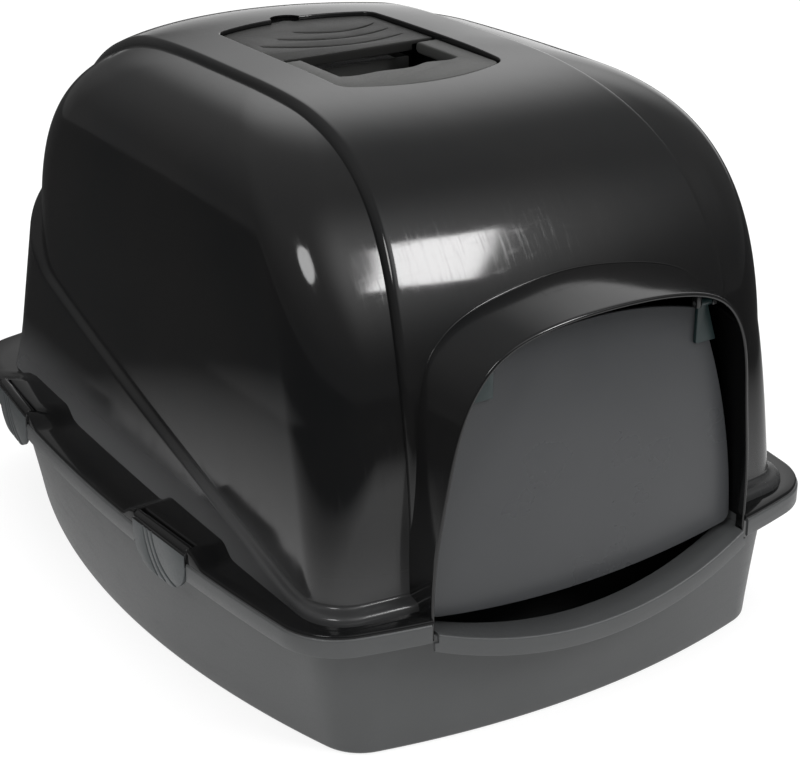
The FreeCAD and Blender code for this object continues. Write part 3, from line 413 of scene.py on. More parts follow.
# Shares of the way round at which the sides have columns, closer beside the band
COLUMNS = np.concatenate([np.linspace(0, 0.035, 12)[:-1], np.linspace(0.035, 1.0, 250)])
# Offsets from the skirting's line, and how much of the skirting's shape is left there
LINE_ROLL = ((-6.0, 1.0), (-4.0, 1.0), (-2.6, 0.99), (-1.6, 0.94), (-0.8, 0.84), (-0.2, 0.68), (0.2, 0.5),
             (0.6, 0.32), (1.1, 0.16), (1.8, 0.06), (2.8, 0.015), (4.2, 0.0))


def top_level():
    """Level at which the sides have drawn in to the band."""
    low, high = 0.9, NEARLY_ONE
    for _ in range(50):
        t = (low + high) / 2
        points, _ = Plan(*[float(v) for v in dome_sizes(t, 0.0)]).half(60)
        wide = points[:, 0].max() > band_half(BASE + RISE * t) - 0.9
        low, high = (t, high) if wide else (low, t)
    return low


TOP = top_level()


def rounding(start, count):
    """Levels from a start to the top, closer together where the sides turn in."""
    first, last = math.asin(start ** (SIDE_POWER / 2)), math.asin(TOP ** (SIDE_POWER / 2))
    return np.sin(np.linspace(first, last, count)) ** (2 / SIDE_POWER)


def dome_table(grow):
    """Points of the dome at fine levels, by column."""
    bend = 0.85
    levels = np.concatenate([np.linspace(0, bend, 160)[:-1], rounding(bend, 420)])
    heights = BASE + RISE * levels
    rows = []
    for t, z in zip(levels, heights):
        plan = Plan(*[float(v) for v in dome_sizes(t, grow)])
        points, _ = plan.half(60)
        start = min(float(band_half(z)) - 1.0, points[:, 0].max() - 0.01)
        rows.append(plan.from_x(start, COLUMNS))
    return heights, np.array(rows)


def skirting_table(grow):
    """Points of the skirting, with the cove at its foot, at fine levels, by column."""
    heights = np.concatenate([np.linspace(BASE, BASE + COVE_RISE, 29)[:-1],
                              np.linspace(BASE + COVE_RISE, BASE + SKIRT_RISE, 36)])
    rows = []
    for z in heights:
        share = (z - BASE) / SKIRT_RISE
        sizes = [a + (b - a) * share for a, b in zip(skirting.sizes, skirting_head.sizes)]
        flare = COVE * max(0.0, 1 - (z - BASE) / COVE_RISE) ** COVE_POWER
        rows.append(Plan(*sizes).grown(grow + flare).from_x(float(band_half(z)) - 1.0, COLUMNS))
    return heights, np.array(rows)


def looked_up(table, z):
    """Points of a table at heights given by row and column."""
    heights, rows = table
    place = np.interp(z, heights, np.arange(len(heights)))
    low = np.minimum(place.astype(int), len(heights) - 2)
    share = (place - low)[..., None]
    column = np.broadcast_to(np.arange(z.shape[1]), z.shape)
    return rows[low, column] * (1 - share) + rows[low + 1, column] * share


def side_grids():
    outer_dome, inner_dome = dome_table(0.0), dome_table(-WALL)
    outer_skirt, inner_skirt = skirting_table(0.0), skirting_table(-WALL)
    line = np.full(len(COLUMNS), 160.0)
    for _ in range(6):
        line = line_height(looked_up(outer_skirt, line[None, :])[0, :, 1])
    line = np.minimum(line, LINE_TOP)
    top = BASE + RISE * TOP
    foot_z = BASE + 0.3
    rows = [foot_z + (line - 9.0 - foot_z) * a for a in np.linspace(0, 1, 14)]
    rows[-1] = np.maximum(rows[-1], foot_z)
    rows += [line + step for step, _ in LINE_ROLL]
    blends = [1.0] * 14 + [blend for _, blend in LINE_ROLL]
    start, bend = 0.045, 0.80
    upper = np.concatenate([np.linspace(start, bend, 62)[1:-1], rounding(bend, 110)])
    shares = (upper - start) / (TOP - start)
    above = line + LINE_ROLL[-1][0]
    rows += [above + (top - above) * share for share in shares]
    blends += [0.0] * len(shares)
    z = np.array(rows)
    blend = np.array(blends)[:, None, None]
    outer = looked_up(outer_skirt, z) * blend + looked_up(outer_dome, z) * (1 - blend)
    inner = looked_up(inner_skirt, z) * blend + looked_up(inner_dome, z) * (1 - blend)
    depth = np.concatenate([inner, z[..., None]], axis=2)
    depth[-1, :, 2] -= 1.5
    return mirrored_columns(np.concatenate([outer, z[..., None]], axis=2)), mirrored_columns(depth)


# Central band: a strap over the hood with rolled edges

def strap_grids():
    near = np.array([0.0, 0.2, 0.55, 1.05, 1.7, 2.5, 3.5, 4.6, 6.5, 10.0, 16.0, 24.0])
    inner_places = np.linspace(-1, 1, 37)[1:-1]
    count = 2 * len(near) + len(inner_places)

    def places(z):
        half = band_half(z)
        columns = [-(half[:, i] - near[i]) for i in range(len(near))]
        columns += [(half[:, len(near) + i] - near[-1]) * s for i, s in enumerate(inner_places)]
        columns += [half[:, count - 1 - i] - near[i] for i in range(len(near) - 1, -1, -1)]
        return np.stack(columns, axis=1)

    roll = (BAND_LIFT + BAND_SUNK) * np.sqrt(1 - (1 - np.minimum(near / BAND_ROLL, 1.0)) ** 2) - BAND_SUNK
    grow = np.concatenate([roll, np.full(len(inner_places), BAND_LIFT), roll[::-1]])[None, :]

    def solve(turns, x, extra):
        def inside(reach):
            return inside_dome(x, -reach * np.cos(turns), BASE + reach * np.sin(turns), grow + extra)
        return bisected(inside, np.zeros_like(x), np.full_like(x, 520.0), 46)

    fine = np.linspace(0.001, math.radians(146), 3000)[:, None]
    reach = solve(fine, np.zeros((len(fine), count)), 0.0)[:, count // 2]
    path = np.stack([-reach * np.cos(fine[:, 0]), reach * np.sin(fine[:, 0])], axis=1)
    lengths = np.concatenate([[0.0], np.cumsum(np.hypot(*np.diff(path, axis=0).T))])
    turns = np.interp(np.linspace(0, lengths[-1], 440), lengths, fine[:, 0])[:, None]

    def grid(extra):
        z = np.full((len(turns), count), 200.0)
        for _ in range(5):
            x = places(z)
            distance = solve(turns, x, extra)
            z = BASE + distance * np.sin(turns)
        return np.stack([x, -distance * np.cos(turns), z], axis=2)

    return grid(0.0), grid(-WALL)


# Visor: an arch that is ruled from the hood's front to its own front edge

FRONT_ARCH = ((1.0, 0.0), (0.995, 0.2), (0.92, 0.53), (0.825, 0.80), (0.70, 0.91), (0.42, 0.98), (0.0, 1.0))
ROOT_ARCH = ((1.0, 0.0), (1.015, 0.3), (1.01, 0.55), (0.955, 0.735), (0.876, 0.842), (0.787, 0.888),
             (0.593, 0.943), (0.35, 0.978), (0.0, 1.0))


def spline(points, shares):
    """Smooth curve through points, read at shares of its length."""
    points = np.asarray(points, float)
    knots = np.concatenate([[0.0], np.cumsum(np.linalg.norm(np.diff(points, axis=0), axis=1))])
    steps = np.diff(knots)
    count = len(points)
    matrix = np.zeros((count, count))
    right = np.zeros((count, points.shape[1]))
    matrix[0, 0] = matrix[-1, -1] = 1.0
    for i in range(1, count - 1):
        matrix[i, i - 1:i + 2] = steps[i - 1], 2 * (steps[i - 1] + steps[i]), steps[i]
        right[i] = 6 * ((points[i + 1] - points[i]) / steps[i] - (points[i] - points[i - 1]) / steps[i - 1])
    bend = np.linalg.solve(matrix, right)
    at = np.asarray(shares) * knots[-1]
    i = np.clip(np.searchsorted(knots, at) - 1, 0, count - 2)
    h = steps[i][:, None]
    a = (knots[i + 1] - at)[:, None] / h
    b = (at - knots[i])[:, None] / h
    return (a * points[i] + b * points[i + 1]
            + ((a ** 3 - a) * bend[i] + (b ** 3 - b) * bend[i + 1]) * h ** 2 / 6)


def arch(half, top, shares, at):
    right = [(half * x, LEG_END + (top - LEG_END) * z) for x, z in shares]
    return spline(right + [(-x, z) for x, z in right[-2::-1]], at)


def arch_at(inset, at, along):
    """Points of the ruled arch; along is 0 at the root and 1 at the front."""
    root = arch(ROOT_HALF - inset, ROOT_TOP - inset, ROOT_ARCH, at)
    face = arch(FACE_HALF - inset, FACE_TOP - inset, FRONT_ARCH, at)
    along = np.broadcast_to(np.asarray(along, float), (len(at),))[:, None]
    flat = root * (1 - along) + face * along
    return np.stack([flat[:, 0], ROOT_Y - VISOR_REACH * along[:, 0], flat[:, 1]], axis=1)


def along_at(y):
    """Place along the ruled arch at a given Y."""
    return (ROOT_Y - y) / VISOR_REACH


def visor_edge(z):
    """Y of the visor's leaning front edge."""
    return LIP_Y - LIP_LEAN * (np.clip((z - LEG_END) / (FACE_TOP - LEG_END), 0, 1.1)) ** 2


def visor():
    at = np.concatenate([np.linspace(0, 0.5, 161), np.linspace(0.5, 1, 161)[1:]])
    front = np.full(len(at), 0.9)
    back = np.full(len(at), 0.4)
    for _ in range(12):
        points = arch_at(0.0, at, front)
        front = along_at(visor_edge(points[:, 2]))
        points = arch_at(0.0, at, back)
        back = along_at(front_of_dome(points[:, 0], points[:, 2], -1.0))
    back = np.minimum(back, front - 0.2)
    outer, inner = [], []
    for share in np.linspace(0, 1, 40):
        along = back + (front - back) * share - share * (WALL / 2 / VISOR_REACH)
        outer.append(arch_at(0.0, at, along))
        inner.append(arch_at(WALL, at, along))
    # The lip rolls over from the outside to the inside
    last_outer, last_inner = outer[-1], inner[-1]
    centre = (last_outer + last_inner) / 2
    reach = (last_outer - last_inner) / 2
    ahead = unit(last_outer - outer[-2])
    lip = []
    for turn in np.linspace(0, math.pi, 11)[1:-1]:
        lip.append(centre + reach * math.cos(turn) + ahead * (WALL / 2) * math.sin(turn))
    obj = swept("hood_visor", np.array(outer + lip + inner[::-1]), 40.0)
    # The legs stand on the flange, and only their front edges reach down over the skirt
    step = new_object("step", box_points((-200, -306.5, 60), (200, -200, 110.6)), BOX_FACES)
    return cut(obj, [step], 40.0)


def bead():
    """Small fillet where the visor's roof meets the band."""
    at = np.linspace(0.2, 0.8, 401)
    back = np.full(len(at), 0.5)
    for _ in range(16):
        points = arch_at(0.0, at, back)
        back = along_at(front_of_dome(points[:, 0], points[:, 2], BAND_LIFT))
    points = arch_at(0.0, at, back)
    end = 122
    points = points[np.abs(points[:, 0]) < end]
    along = unit(np.gradient(points, axis=0))
    side = unit(np.cross(along, (0.0, 1.0, 0.0)))
    other = np.cross(along, side)
    radius = (0.15 + 0.85 * np.clip((end - np.abs(points[:, 0])) / 25, 0, 1))[:, None]
    loops = []
    for turn in np.linspace(0, 2 * math.pi, 12, endpoint=False):
        loops.append(points + radius * (math.cos(turn) * side + math.sin(turn) * other))
    return ring_solid("hood_bead", np.array(loops).transpose(1, 0, 2), 60.0, close=False)


def tunnel_tool(inset):
    """Cuts the doorway, down to below the legs."""
    at = np.linspace(0, 1, 281)
    loops = []
    for along in np.linspace(-0.3, 1.3, 9):
        points = arch_at(inset, at, along)
        feet = points[[-1, 0]].copy()
        feet[:, 2] = 50
        loops.append(np.concatenate([points, feet]))
    return ring_solid("tunnel", loops, close=False)


def opening_tool():
    hole = lid.grown(BAND_GAP)
    return ring_solid("opening", [hole.loop(150, z) for z in (396.0, ABOVE)], close=False)


def recess_tool():
    return cylinder("recess", (0, RECESS_Y, RECESS_FLOOR), (0, RECESS_Y, ABOVE), RECESS_RADIUS, 72)


# Flange on the rim, with the raised latch seats and their notches

def latch_place(side, along):
    """Origin, outward direction and direction along the side of a latch."""
    cx, cy, radius = rim.side_arc()[4:]
    turn = math.asin((along - cy) / radius)
    origin = np.array((side * (cx + radius * math.cos(turn)), along, 0.0))
    out = np.array((side * math.cos(turn), math.sin(turn), 0.0))
    return origin, out, np.array((-side * math.sin(turn), math.cos(turn), 0.0))


def seat_rise(flat):
    """Rise of the latch seats over points in plan, eased at both ends of their ramps."""
    rise = np.zeros(len(flat))
    for along in LATCH_ALONG:
        origin, _, way = latch_place(1, along)
        away = np.abs((flat - origin[:2]) @ way[:2])
        ramp = np.clip((SEAT_END - away) / SEAT_RAMP, 0, 1)
        rise = np.maximum(rise, SEAT_RISE * ramp * ramp * (3 - 2 * ramp))
    return rise


def flange():
    edge = rim.grown(-1.2)
    points, lengths = edge.half()
    top = int(np.argmax(points[:, 0]))
    start = np.interp(FLANGE_START, points[:top + 1, 0], lengths[:top + 1])
    stop = lengths[-1]
    stations = list(np.linspace(start, stop, 420))
    middles = []
    for along in LATCH_ALONG:
        origin, _, _ = latch_place(1, along)
        middle = lengths[int(np.argmin(np.hypot(points[:, 0] - origin[0], points[:, 1] - origin[1])))]
        middles.append(middle)
        for sign in (-1, 1):
            stations += [middle + sign * (LATCH_HALF + v) for v in (-0.02, 0.02)]
    stations = np.array(sorted(stations))
    away = np.min([np.abs(stations - m) for m in middles], axis=0)
    notch = np.where(away < LATCH_HALF, LATCH_NOTCH, 0.0)
    shares = (stations - start) / (stop - start)
    xy = read_at(points, lengths, stations)
    inner_xy = skirting.grown(-2.0).from_x(FLANGE_START, shares)
    way = unit(inner_xy - xy)
    outer = xy + way * notch[:, None]
    middle_xy = outer * 0.5 + inner_xy * 0.5
    z = BASE + WALL + seat_rise(xy)
    rows = [lifted(inner_xy, BASE + 0.02), lifted(outer, BASE + 0.02),
            lifted(outer, np.maximum(z - FLANGE_ROUND, BASE + 0.9))]
    for turn in np.radians((30, 60, 90)):
        rows.append(lifted(outer + way * (FLANGE_ROUND * (1 - math.cos(turn))),
                           z - FLANGE_ROUND * (1 - math.sin(turn))))
    rows.append(lifted(middle_xy, BASE + WALL + seat_rise(middle_xy)))
    rows.append(lifted(inner_xy, BASE + WALL + seat_rise(inner_xy)))
    obj = swept("hood_flange", mirrored_columns(np.array(rows)), 32.0)
    tools = []
    for side in (-1, 1):
        for along in LATCH_ALONG:
            origin, out, way = latch_place(side, along)
            middle = origin - out * BARREL_IN + np.array((0, 0, BARREL_Z))
            tools.append(cylinder("bore", middle - way * BARREL_HALF, middle + way * BARREL_HALF, PIVOT_BORE))
    return cut(obj, tools, 32.0)


# Well under the top panel, the opening's edge, the finger recess, and the flap's ears

def well_room():
    return ring_solid("room", [lid.grown(LID_GAP).loop(110, z) for z in (WELL_FLOOR, 425.0)], close=False)


def lid_bores():
    return [cylinder("bore", (-PIVOT_REACH, y, z), (PIVOT_REACH, y, z), PIVOT_BORE) for y, z in PIVOTS]


def well():
    around = lid.grown(LID_GAP).grown(WALL)
    obj = ring_solid("hood_well", [around.loop(110, z) for z in (WELL_FOOT, WELL_TOP)], close=False)
    gap = new_object("gap", box_points(*FLOOR_HOLE), BOX_FACES)
    return cut(obj, [well_room(), gap, recess_tool()] + lid_bores())


def crown_height(flat):
    """Height of the band's top over points in plan."""
    def inside(z):
        return inside_dome(flat[:, 0], flat[:, 1], z, BAND_LIFT)
    return bisected(inside, np.full(len(flat), 380.0), np.full(len(flat), 420.0), 40)


def collar():
    """Rounded edge of the opening, which follows the crown, and the wall under it."""
    hole = lid.grown(LID_GAP)
    loops = []
    for out, drop in ((0.0, 3.0), (0.0, 1.2), (0.09, 0.74), (0.35, 0.35), (0.74, 0.10), (1.2, 0.015),
                      (1.7, 0.04), (3.0, 1.0)):
        loop = hole.grown(out).loop(240, 0.0)
        loop[:, 2] = crown_height(loop) - drop
        loops.append(loop)
    loops = [hole.loop(240, COLLAR_FOOT)] + loops + [hole.grown(3.0).loop(240, COLLAR_FOOT)]
    obj = ring_solid("hood_collar", loops, 30.0)
    return cut(obj, [recess_tool()] + lid_bores(), 30.0)


def recess_cup():
    low, high = (0, RECESS_Y, RECESS_FLOOR - WALL), (0, RECESS_Y, 414.0)
    obj = cylinder("hood_recess", low, high, RECESS_RADIUS + WALL, 72)
    return cut(obj, [well_room(), recess_tool()])


def ears():
    roof = arch_at(WALL, np.linspace(0, 1, 2001), along_at(HINGE_Y))
    verts, faces = [], []
    for side in (-1, 1):
        for place in (CLIP_INNER - EAR_GAP - EAR_WIDE, CLIP_INNER + CLIP_WIDE + EAR_GAP):
            low, high = sorted((side * place, side * (place + EAR_WIDE)))
            near = (roof[:, 0] > low - 1) & (roof[:, 0] < high + 1) & (roof[:, 2] > 200)
            top = roof[near, 2].min() + 1.2
            start = len(verts)
            verts += box_points((low, HINGE_Y - EAR_HALF, HINGE_Z - EAR_HALF), (high, HINGE_Y + EAR_HALF, top))
            faces += [tuple(start + i for i in face) for face in BOX_FACES]
    obj = new_object("hood_ears", verts, faces)
    step = obj.modifiers.new("soft", "BEVEL")
    step.width = 0.5 * MM
    step.segments = 2
    applied(obj)
    return cut(obj, [cylinder("bore", (-120, HINGE_Y, HINGE_Z), (120, HINGE_Y, HINGE_Z), PIN_BORE)])


# Tray

def tray():
    front_x = np.concatenate([np.linspace(0, DOOR_HALF - 0.05, 90), (DOOR_HALF - 0.02, DOOR_HALF + 0.02),
                              np.linspace(DOOR_HALF + 0.3, FRONT_END, 12)])
    shares = np.linspace(0, 1, 260)[1:]
    flat = {}

    def columns(plan):
        key = plan.sizes
        if key not in flat:
            flat[key] = np.concatenate([plan.at_x(front_x), plan.from_x(FRONT_END, shares)])
        return flat[key]

    # Height of the rim: an arc that dips in the doorway, and level past it
    x = np.concatenate([front_x, np.full(len(shares), 400.0)])
    dip_radius = (DOOR_HALF ** 2 + DIP ** 2) / (2 * DIP)
    drop = np.sqrt(np.maximum(dip_radius ** 2 - np.minimum(x, DOOR_HALF) ** 2, 0))
    height = np.where(x < DOOR_HALF, DIP_LOW + dip_radius - drop, BASE)
    top = rim.grown(-RIM_WIDE)

    def wall(plan_low, plan_high, low, z):
        share = ((z - low) / (BASE - low))[:, None] if np.ndim(z) else (z - low) / (BASE - low)
        return columns(plan_low) * (1 - share) + columns(plan_high) * share

    inner_low, inner_high = foot.grown(-WALL), top.grown(-WALL)
    rows = [lifted(columns(inner_low) * share, WALL) for share in (0.02, 0.5, 0.9)]
    for turn in np.radians((0, 30, 60, 90)):
        rows.append(lifted(columns(inner_low.grown(-FLOOR_ROUND * (1 - math.sin(turn)))),
                           WALL + FLOOR_ROUND * (1 - math.cos(turn))))
    for share in np.linspace(0.06, 0.97, 14):
        z = WALL + (height - WALL) * share
        rows.append(lifted(wall(inner_low, inner_high, WALL, z), z))
    rim_in = wall(inner_low, inner_high, WALL, height)
    edge_z = height - 1.0
    rows.append(lifted(wall(inner_low, inner_high, WALL, edge_z), edge_z))
    outward = unit(columns(rim) - rim_in)
    rows.append(lifted(rim_in + outward * 0.35, height - 0.3))
    rows.append(lifted(rim_in + outward, height))
    rows.append(lifted(rim_in * 0.5 + columns(rim) * 0.5, height))
    for turn in np.radians((90, 68, 45, 22, 0)):
        out = columns(rim.grown(-RIM_ROUND * (1 - math.cos(turn))))
        rows.append(lifted(out, height - RIM_ROUND * (1 - math.sin(turn))))
    # The skirt round the rim, with a rounded lower edge
    for back, drop in ((0, 7.0), (0, 13.0), (0.4, 13.8), (1.2, 14.0), (2.0, 13.8), (2.4, 13.0), (2.4, WALL)):
        rows.append(lifted(columns(rim.grown(-back)), height - drop))
    under = height - WALL
    rows.append(lifted(wall(foot, top, FOOT_ROUND, under), under))
    for share in np.linspace(0.98, 0.0, 16):
        z = FOOT_ROUND + (under - FOOT_ROUND) * share
        rows.append(lifted(wall(foot, top, FOOT_ROUND, z), z))
    for turn in np.radians((70, 50, 30, 12, 0)):
        rows.append(lifted(columns(foot.grown(-FOOT_ROUND * (1 - math.sin(turn)))),
                           FOOT_ROUND * (1 - math.cos(turn))))
    low = columns(foot.grown(-FOOT_ROUND))
    rows += [lifted(low * share, 0.0) for share in (0.9, 0.5, 0.02)]
    obj = ring_solid("tray_body", mirrored_columns(np.array(rows))[:, :-1], 34.0, close=False)
    tools = []
    for side in (-1, 1):
        low_x, high_x = sorted(side * x for x in LEG_ACROSS)
        leg = box_points((low_x, -400, LEG_LOW), (high_x, LEG_REAR, 140))
        tools.append(new_object("leg_notch", leg, BOX_FACES))
        for along in LATCH_ALONG:
            origin, out, way = latch_place(side, along)
            room = box_points((-4.1, -LATCH_HALF, 60), (30, LATCH_HALF, 140))
            points = [origin + out * x + way * y + np.array((0, 0, z)) for x, y, z in room]
            tools.append(new_object("notch", points, BOX_FACES))
    return cut(obj, tools, 34.0)


# Carbon filter: a soft crowned pad

def filter_pad():
    low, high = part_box("carbon_filter")
    low, high = np.array(low) / MM, np.array(high) / MM
    middle, half = (low + high) / 2, (high - low) / 2
    rows = []
    turns = np.linspace(0, 2 * math.pi, 180, endpoint=False)
    phases = np.random.default_rng(7).uniform(0, 2 * math.pi, 2)
    squareness = 0.22
    x, y = [np.sign(v) * np.abs(v) ** squareness for v in (np.cos(turns), np.sin(turns))]
    sag = 1 - 0.012 * (np.cos(2 * turns + phases[0]) + 0.6 * np.cos(5 * turns + phases[1]))
    for step in np.linspace(-math.pi / 2, math.pi / 2, 25):
        flat = np.abs(np.cos(step)) ** squareness
        z = math.copysign(abs(math.sin(step)) ** 0.75, math.sin(step))
        pull = 0.972 * flat * sag
        rows.append(np.stack([middle[0] + half[0] * x * pull, middle[1] + half[1] * y * pull,
                              np.full(len(turns), middle[2] + half[2] * z)], axis=1))
    grid = np.array(rows)
    crown = np.clip(1 - ((grid[..., 0] - middle[0]) / half[0]) ** 4, 0, 1)
    crown *= np.clip(1 - ((grid[..., 1] - middle[1]) / half[1]) ** 4, 0, 1)
    above = grid[..., 2] - middle[2]
    grid[..., 2] = np.where(above > 0, middle[2] + above * (0.8 + 0.2 * crown), grid[..., 2])
    return ring_solid("filter_pad", grid, 60.0, close=False)


# Materials

def material(name):
    made = bpy.data.materials.new(name)
    made.use_nodes = True
    tree = made.node_tree
    return made, tree, tree.nodes["Principled BSDF"]


def node(tree, kind, operation=None):
    made = tree.nodes.new("ShaderNode" + kind)
    if operation:
        made.operation = operation
    return made


def noise(tree, scale, detail=4.0, rough=0.55, stretch=(1, 1, 1)):
    place = node(tree, "TexCoord")
    turn = node(tree, "Mapping")
    turn.inputs["Scale"].default_value = stretch
    made = node(tree, "TexNoise")
    made.inputs["Scale"].default_value = scale
    made.inputs["Detail"].default_value = detail
    made.inputs["Roughness"].default_value = rough
    tree.links.new(place.outputs["Object"], turn.inputs["Vector"])
    tree.links.new(turn.outputs["Vector"], made.inputs["Vector"])
    return made.outputs["Fac"]


def spread(tree, value, low, high, from_low=0.3, from_high=0.7):
    made = node(tree, "MapRange")
    for key, number in (("From Min", from_low), ("From Max", from_high), ("To Min", low), ("To Max", high)):
        made.inputs[key].default_value = number
    tree.links.new(value, made.inputs["Value"])
    return made.outputs["Result"]


def mixed(tree, value, dark, light):
    made = node(tree, "Mix")
    made.data_type = "RGBA"
    sockets = {socket.identifier: socket for socket in made.inputs}
    tree.links.new(value, sockets["Factor_Float"])
    sockets["A_Color"].default_value = (*dark, 1)
    sockets["B_Color"].default_value = (*light, 1)
    return next(socket for socket in made.outputs if socket.identifier == "Result_Color")


def folded(tree, operation, *values):
    """One value from several, by a sum, a product or the greatest of them."""
    total = values[0]
    for value in values[1:]:
        made = node(tree, "Math", operation)
        tree.links.new(total, made.inputs[0])
        tree.links.new(value, made.inputs[1])
        total = made.outputs[0]
    return total


def added(tree, *values):
    return folded(tree, "ADD", *values)


def raised(tree, value, power):
    made = node(tree, "Math", "POWER")
    made.inputs[1].default_value = power
    tree.links.new(value, made.inputs[0])
    return made.outputs[0]


def split(tree, vector):
    made = node(tree, "SeparateXYZ")
    tree.links.new(vector, made.inputs[0])
    return made.outputs


def bumped(tree, shader, value, strength, distance):
    made = node(tree, "Bump")
    made.inputs["Strength"].default_value = strength
    made.inputs["Distance"].default_value = distance
    tree.links.new(value, made.inputs["Height"])
    tree.links.new(made.outputs["Normal"], shader.inputs["Normal"])


def gloss_material(name, painted_sheen=False, specular=0.5):
    """Polished black plastic with fine scratches; where asked, a pale film of painted sheen lies along its
    foot, reflected light laid into the colour.
    """
    made, tree, shader = material(name)
    smudge = spread(tree, noise(tree, 9.0, 5.0), 0.0, 1.0)
    dark = mixed(tree, smudge, (0.0042, 0.0045, 0.0048), (0.0066, 0.0064, 0.0064))
    haze = spread(tree, noise(tree, 5.0, 6.0, 0.6), 0.06, 0.11)
    if painted_sheen:
        parts = split(tree, node(tree, "TexCoord").outputs["Object"])
        low = raised(tree, spread(tree, parts["Z"], 1.0, 0.0, 0.112, 0.168), 1.4)
        # The painted sheen thins out towards the front corners
        share = folded(tree, "MULTIPLY", low, spread(tree, parts["Y"], 0.25, 1.0, -0.25, -0.12))
        # Painted sheen: this pale colour along the foot stands in for reflected light there, not for dust
        painted_sheen_film = mixed(tree, share, (0, 0, 0), (0.098, 0.099, 0.101))
        total = node(tree, "VectorMath", "ADD")
        tree.links.new(dark, total.inputs[0])
        tree.links.new(painted_sheen_film, total.inputs[1])
        dark = total.outputs[0]
        haze = added(tree, haze, spread(tree, low, 0.0, 0.12, 0.0, 1.0))
    tree.links.new(dark, shader.inputs["Base Color"])
    scratch = spread(tree, noise(tree, 1.0, 3.0, 0.6, (620, 60, 16)), 0.0, 0.09, 0.54, 0.74)
    rub = spread(tree, noise(tree, 1.0, 2.0, 0.5, (40, 420, 30)), 0.0, 0.05, 0.58, 0.76)
    tree.links.new(added(tree, haze, scratch, rub), shader.inputs["Roughness"])
    shader.inputs["IOR"].default_value = 1.5
    shader.inputs["Specular IOR Level"].default_value = specular
    bumped(tree, shader, added(tree, spread(tree, noise(tree, 16.0, 2.0), 0.0, 1.0),
                               spread(tree, noise(tree, 700.0, 2.0), 0.0, 0.02)), 0.05, 0.0012)
    return made


def satin_material(name, dark, light, rough_low, rough_high, grain=900.0, strength=0.10):
    made, tree, shader = material(name)
    cloud = spread(tree, noise(tree, 11.0, 5.0), 0.0, 1.0)
    tree.links.new(mixed(tree, cloud, dark, light), shader.inputs["Base Color"])
    fine = noise(tree, grain, 3.0, 0.6)
    rub = spread(tree, noise(tree, 1.0, 3.0, 0.6, (30, 30, 300)), 0.0, 0.05, 0.52, 0.75)
    tree.links.new(added(tree, spread(tree, fine, rough_low, rough_high), rub), shader.inputs["Roughness"])
    shader.inputs["IOR"].default_value = 1.49
    bumped(tree, shader, fine, strength, 0.0004)
    return made


def smoked_material():
    made, tree, shader = material("smoked_clear")
    cloud = spread(tree, noise(tree, 7.0, 4.0), 0.0, 1.0)
    smoke = mixed(tree, cloud, (0.045, 0.047, 0.050), (0.054, 0.056, 0.059))
    tree.links.new(smoke, shader.inputs["Base Color"])
    scratch = spread(tree, noise(tree, 40.0, 3.0, 0.6), 0.0, 0.02, 0.5, 0.8)
    haze = spread(tree, noise(tree, 14.0, 3.0), 0.26, 0.32)
    tree.links.new(added(tree, haze, scratch), shader.inputs["Roughness"])
    shader.inputs["Transmission Weight"].default_value = 0.16
    shader.inputs["IOR"].default_value = 1.45
    bumped(tree, shader, noise(tree, 30.0, 2.0), 0.02, 0.001)
    return made


def felt_material():
    made, tree, shader = material("carbon_felt")
    fibre = added(tree, noise(tree, 1.0, 4.0, 0.7, (900, 260, 260)),
                  noise(tree, 1.0, 4.0, 0.7, (240, 950, 240)))
    felt = mixed(tree, spread(tree, fibre, 0.0, 1.0, 0.8, 1.2), (0.010, 0.010, 0.011), (0.038, 0.038, 0.040))
    tree.links.new(felt, shader.inputs["Base Color"])
    shader.inputs["Roughness"].default_value = 0.95
    shader.inputs["Sheen Weight"].default_value = 0.25
    bumped(tree, shader, fibre, 0.6, 0.0012)
    return made


GLOSS = gloss_material("gloss_black")
# Gloss with painted sheen along the foot, for the hood's sides
GLOSS_PAINTED_SHEEN = gloss_material("gloss_black_painted_sheen_foot", painted_sheen=True)
LEDGE = gloss_material("gloss_black_ledge", specular=0.22)
TRAY = satin_material("tray_satin", (0.052, 0.054, 0.055), (0.061, 0.063, 0.064), 0.34, 0.46)
PANEL = satin_material("panel_matt", (0.036, 0.0365, 0.035), (0.046, 0.0465, 0.0445), 0.42, 0.55,
                       1100.0, 0.16)
COVER = satin_material("cover_matt", (0.011, 0.011, 0.0105), (0.018, 0.018, 0.017), 0.44, 0.56,
                       1100.0, 0.16)
LATCH = satin_material("latch_satin", (0.046, 0.052, 0.054), (0.056, 0.061, 0.063), 0.36, 0.48)
CLIP = satin_material("clip_teal", (0.004, 0.014, 0.0145), (0.006, 0.018, 0.0185), 0.30, 0.42)
PIN = satin_material("pin_plastic", (0.030, 0.031, 0.032), (0.040, 0.041, 0.042), 0.30, 0.42)
SMOKED = smoked_material()
FELT = felt_material()


def dressed(obj, body, finish, cad_node):
    """Gives a piece its finish and body, and lets it stand for a CAD node."""
    obj.data.materials.clear()
    obj.data.materials.append(finish)
    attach(obj, body)
    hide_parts(cad_node)
    return obj


# Pieces

